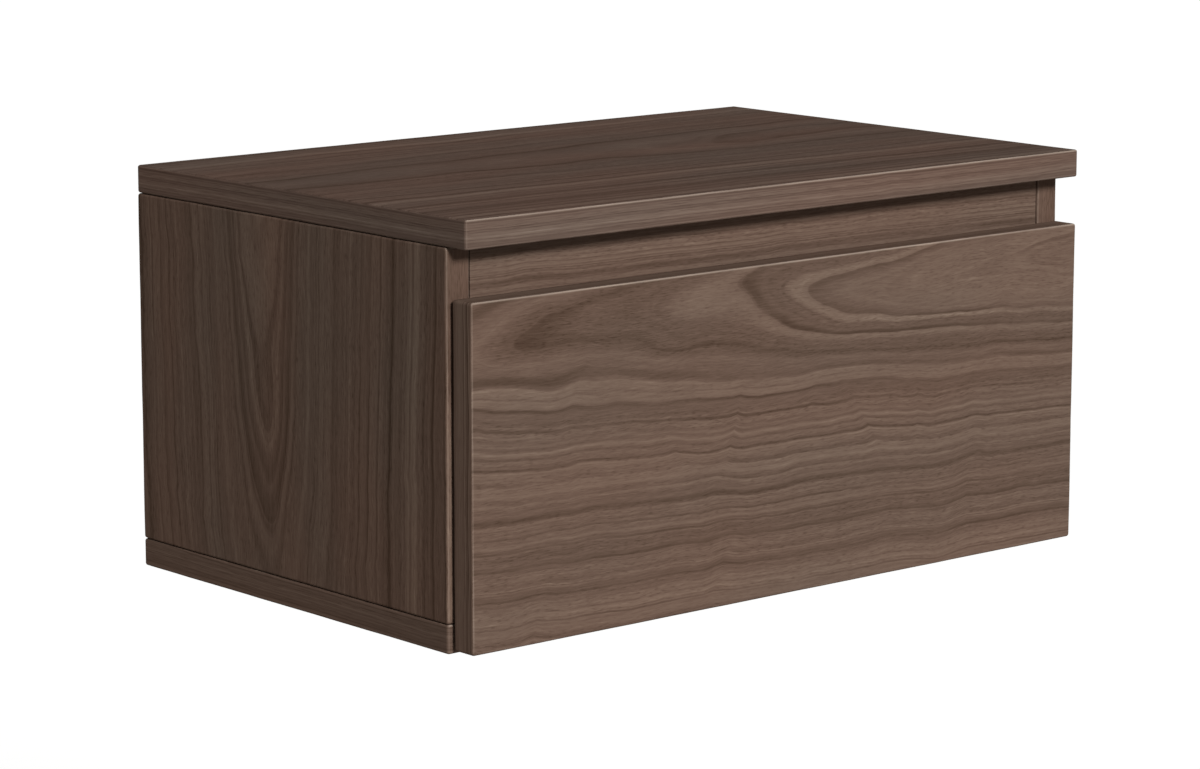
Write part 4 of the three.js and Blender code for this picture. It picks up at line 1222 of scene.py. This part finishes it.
# A member's section in x and z, from its box: a web at the back, two flanges, and for the two
# outer members a lip at each flange's edge. Every bend is rounded, outside and inside.
def channelOutline(back, front, low, high, lips):
    look = runnerShape
    sheet = math.copysign(look['sheet'], front - back)
    up = look['sheet']
    tip = up + look['lip']
    if lips:
        outline = [
            (back, low), (front, low), (front, low + tip), (front - sheet, low + tip),
            (front - sheet, low + up), (back + sheet, low + up), (back + sheet, high - up),
            (front - sheet, high - up), (front - sheet, high - tip), (front, high - tip),
            (front, high), (back, high),
        ]
        radii = ['bend'] * 2 + ['tip'] * 2 + ['insideBend'] * 4 + ['tip'] * 2 + ['bend'] * 2
    else:
        outline = [
            (back, low), (front, low), (front, low + up), (back + sheet, low + up),
            (back + sheet, high - up), (front, high - up), (front, high), (back, high),
        ]
        radii = ['bend'] + ['tip'] * 2 + ['insideBend'] * 2 + ['tip'] * 2 + ['bend']
    return roundedOutline(outline, [look[radius] for radius in radii])


# A countersunk bore round a runner screw, by the screw's own box
def sinkSurface(node, direction):
    low, high = boxOf(node)
    place = (low + high) / 2
    place[0] = low[0] if direction[0] > 0 else high[0]
    mouth, depth, sides = runnerShape['sink']
    heights = [-beyond, screwShape['head'] - screwShape['shank'], depth]
    return turnedSurface([mouth, bore['screw'], bore['screw']], heights, sides, place, direction)


# A member of a runner: an outer one has lips and its web towards the case's side, and the inner
# one has no lips and its web towards the drawer
def makeMember(node, outer, cuts):
    low, high = boxOf(node)
    left = low[0] < 0
    back, front = (low[0], high[0]) if left == outer else (high[0], low[0])
    outline = channelOutline(back, front, low[2], high[2], outer)
    rings = barRings(outline, [0, 2, 1], low[1], high[1], runnerShape['endArris'])
    piece = makeObject(f'{node}_channel', closedSurface(rings))
    cutAway(piece, makeObject('cutter', *cuts))
    finishPiece(piece, [node], metals['runner_steel'])


# A ball cage: a pressed strip with two arms and open windows, and the balls that its arms hold
def makeCage(node, side):
    look = runnerShape
    low, high = boxOf(node)
    back, tip = (low[0], high[0]) if side == 'left' else (high[0], low[0])
    inwardSign = math.copysign(1, tip - back)
    middle = (low + high) / 2
    rise = (high - low)[2] / 2 - look['ball']
    web, arm = inwardSign * look['web'], look['arm'] / 2
    bottom, top = middle[2] - rise, middle[2] + rise
    outline = roundedOutline([
        (back, bottom - arm), (tip, bottom - arm), (tip, bottom + arm), (back + web, bottom + arm),
        (back + web, top - arm), (tip, top - arm), (tip, top + arm), (back, top + arm),
    ], look['cageCorners'] + look['cageCorners'][::-1])
    rings = barRings(outline, [0, 2, 1], low[1], high[1], look['cageArris'])
    cage = makeObject(f'{node}_pressed', closedSurface(rings))
    places = (np.arange(look['balls']) - (look['balls'] - 1) / 2) * look['ballPitch'] + middle[1]
    half = np.array(look['window'])
    centres = [np.array([middle[0], y, middle[2]]) for y in (places[1:] + places[:-1]) / 2]
    windows = [blockSurface(centre - half, centre + half) for centre in centres]
    cutAway(cage, makeObject('cutter', *windows))
    ball = ballRings(look['ball'], 0.08, 14, 24)
    across = tip - inwardSign * look['ball']
    balls = makeObject(f'{node}_balls', *[
        closedSurface(ball + (across, y, z)) for y in places for z in (bottom, top)
    ])
    finishPiece(cage, [node], metals['cage_steel'])
    finishPiece(balls, [node], metals['cage_steel'], sharpAngle=60)


for side in ('left', 'right'):
    caseScrews = [f'{side}_runner_case_screw_{end}' for end in ('front', 'rear')]
    drawerScrews = [f'{side}_runner_drawer_screw_{end}' for end in ('front', 'rear')]
    access = [boreSurface(screw, runnerShape['access'], 0, runnerShape['accessPast']) for screw in caseScrews]
    caseSinks = [sinkSurface(screw, outwards[side]) for screw in caseScrews]
    drawerSinks = [sinkSurface(screw, inwards[side]) for screw in drawerScrews]
    makeMember(f'{side}_runner_case_member', True, caseSinks)
    makeMember(f'{side}_runner_drawer_member', False, drawerSinks)
    makeMember(f'{side}_runner_middle_member', True, access)
    makeCage(f'{side}_runner_outer_cage', side)
    makeCage(f'{side}_runner_inner_cage', side)
print('runners made')
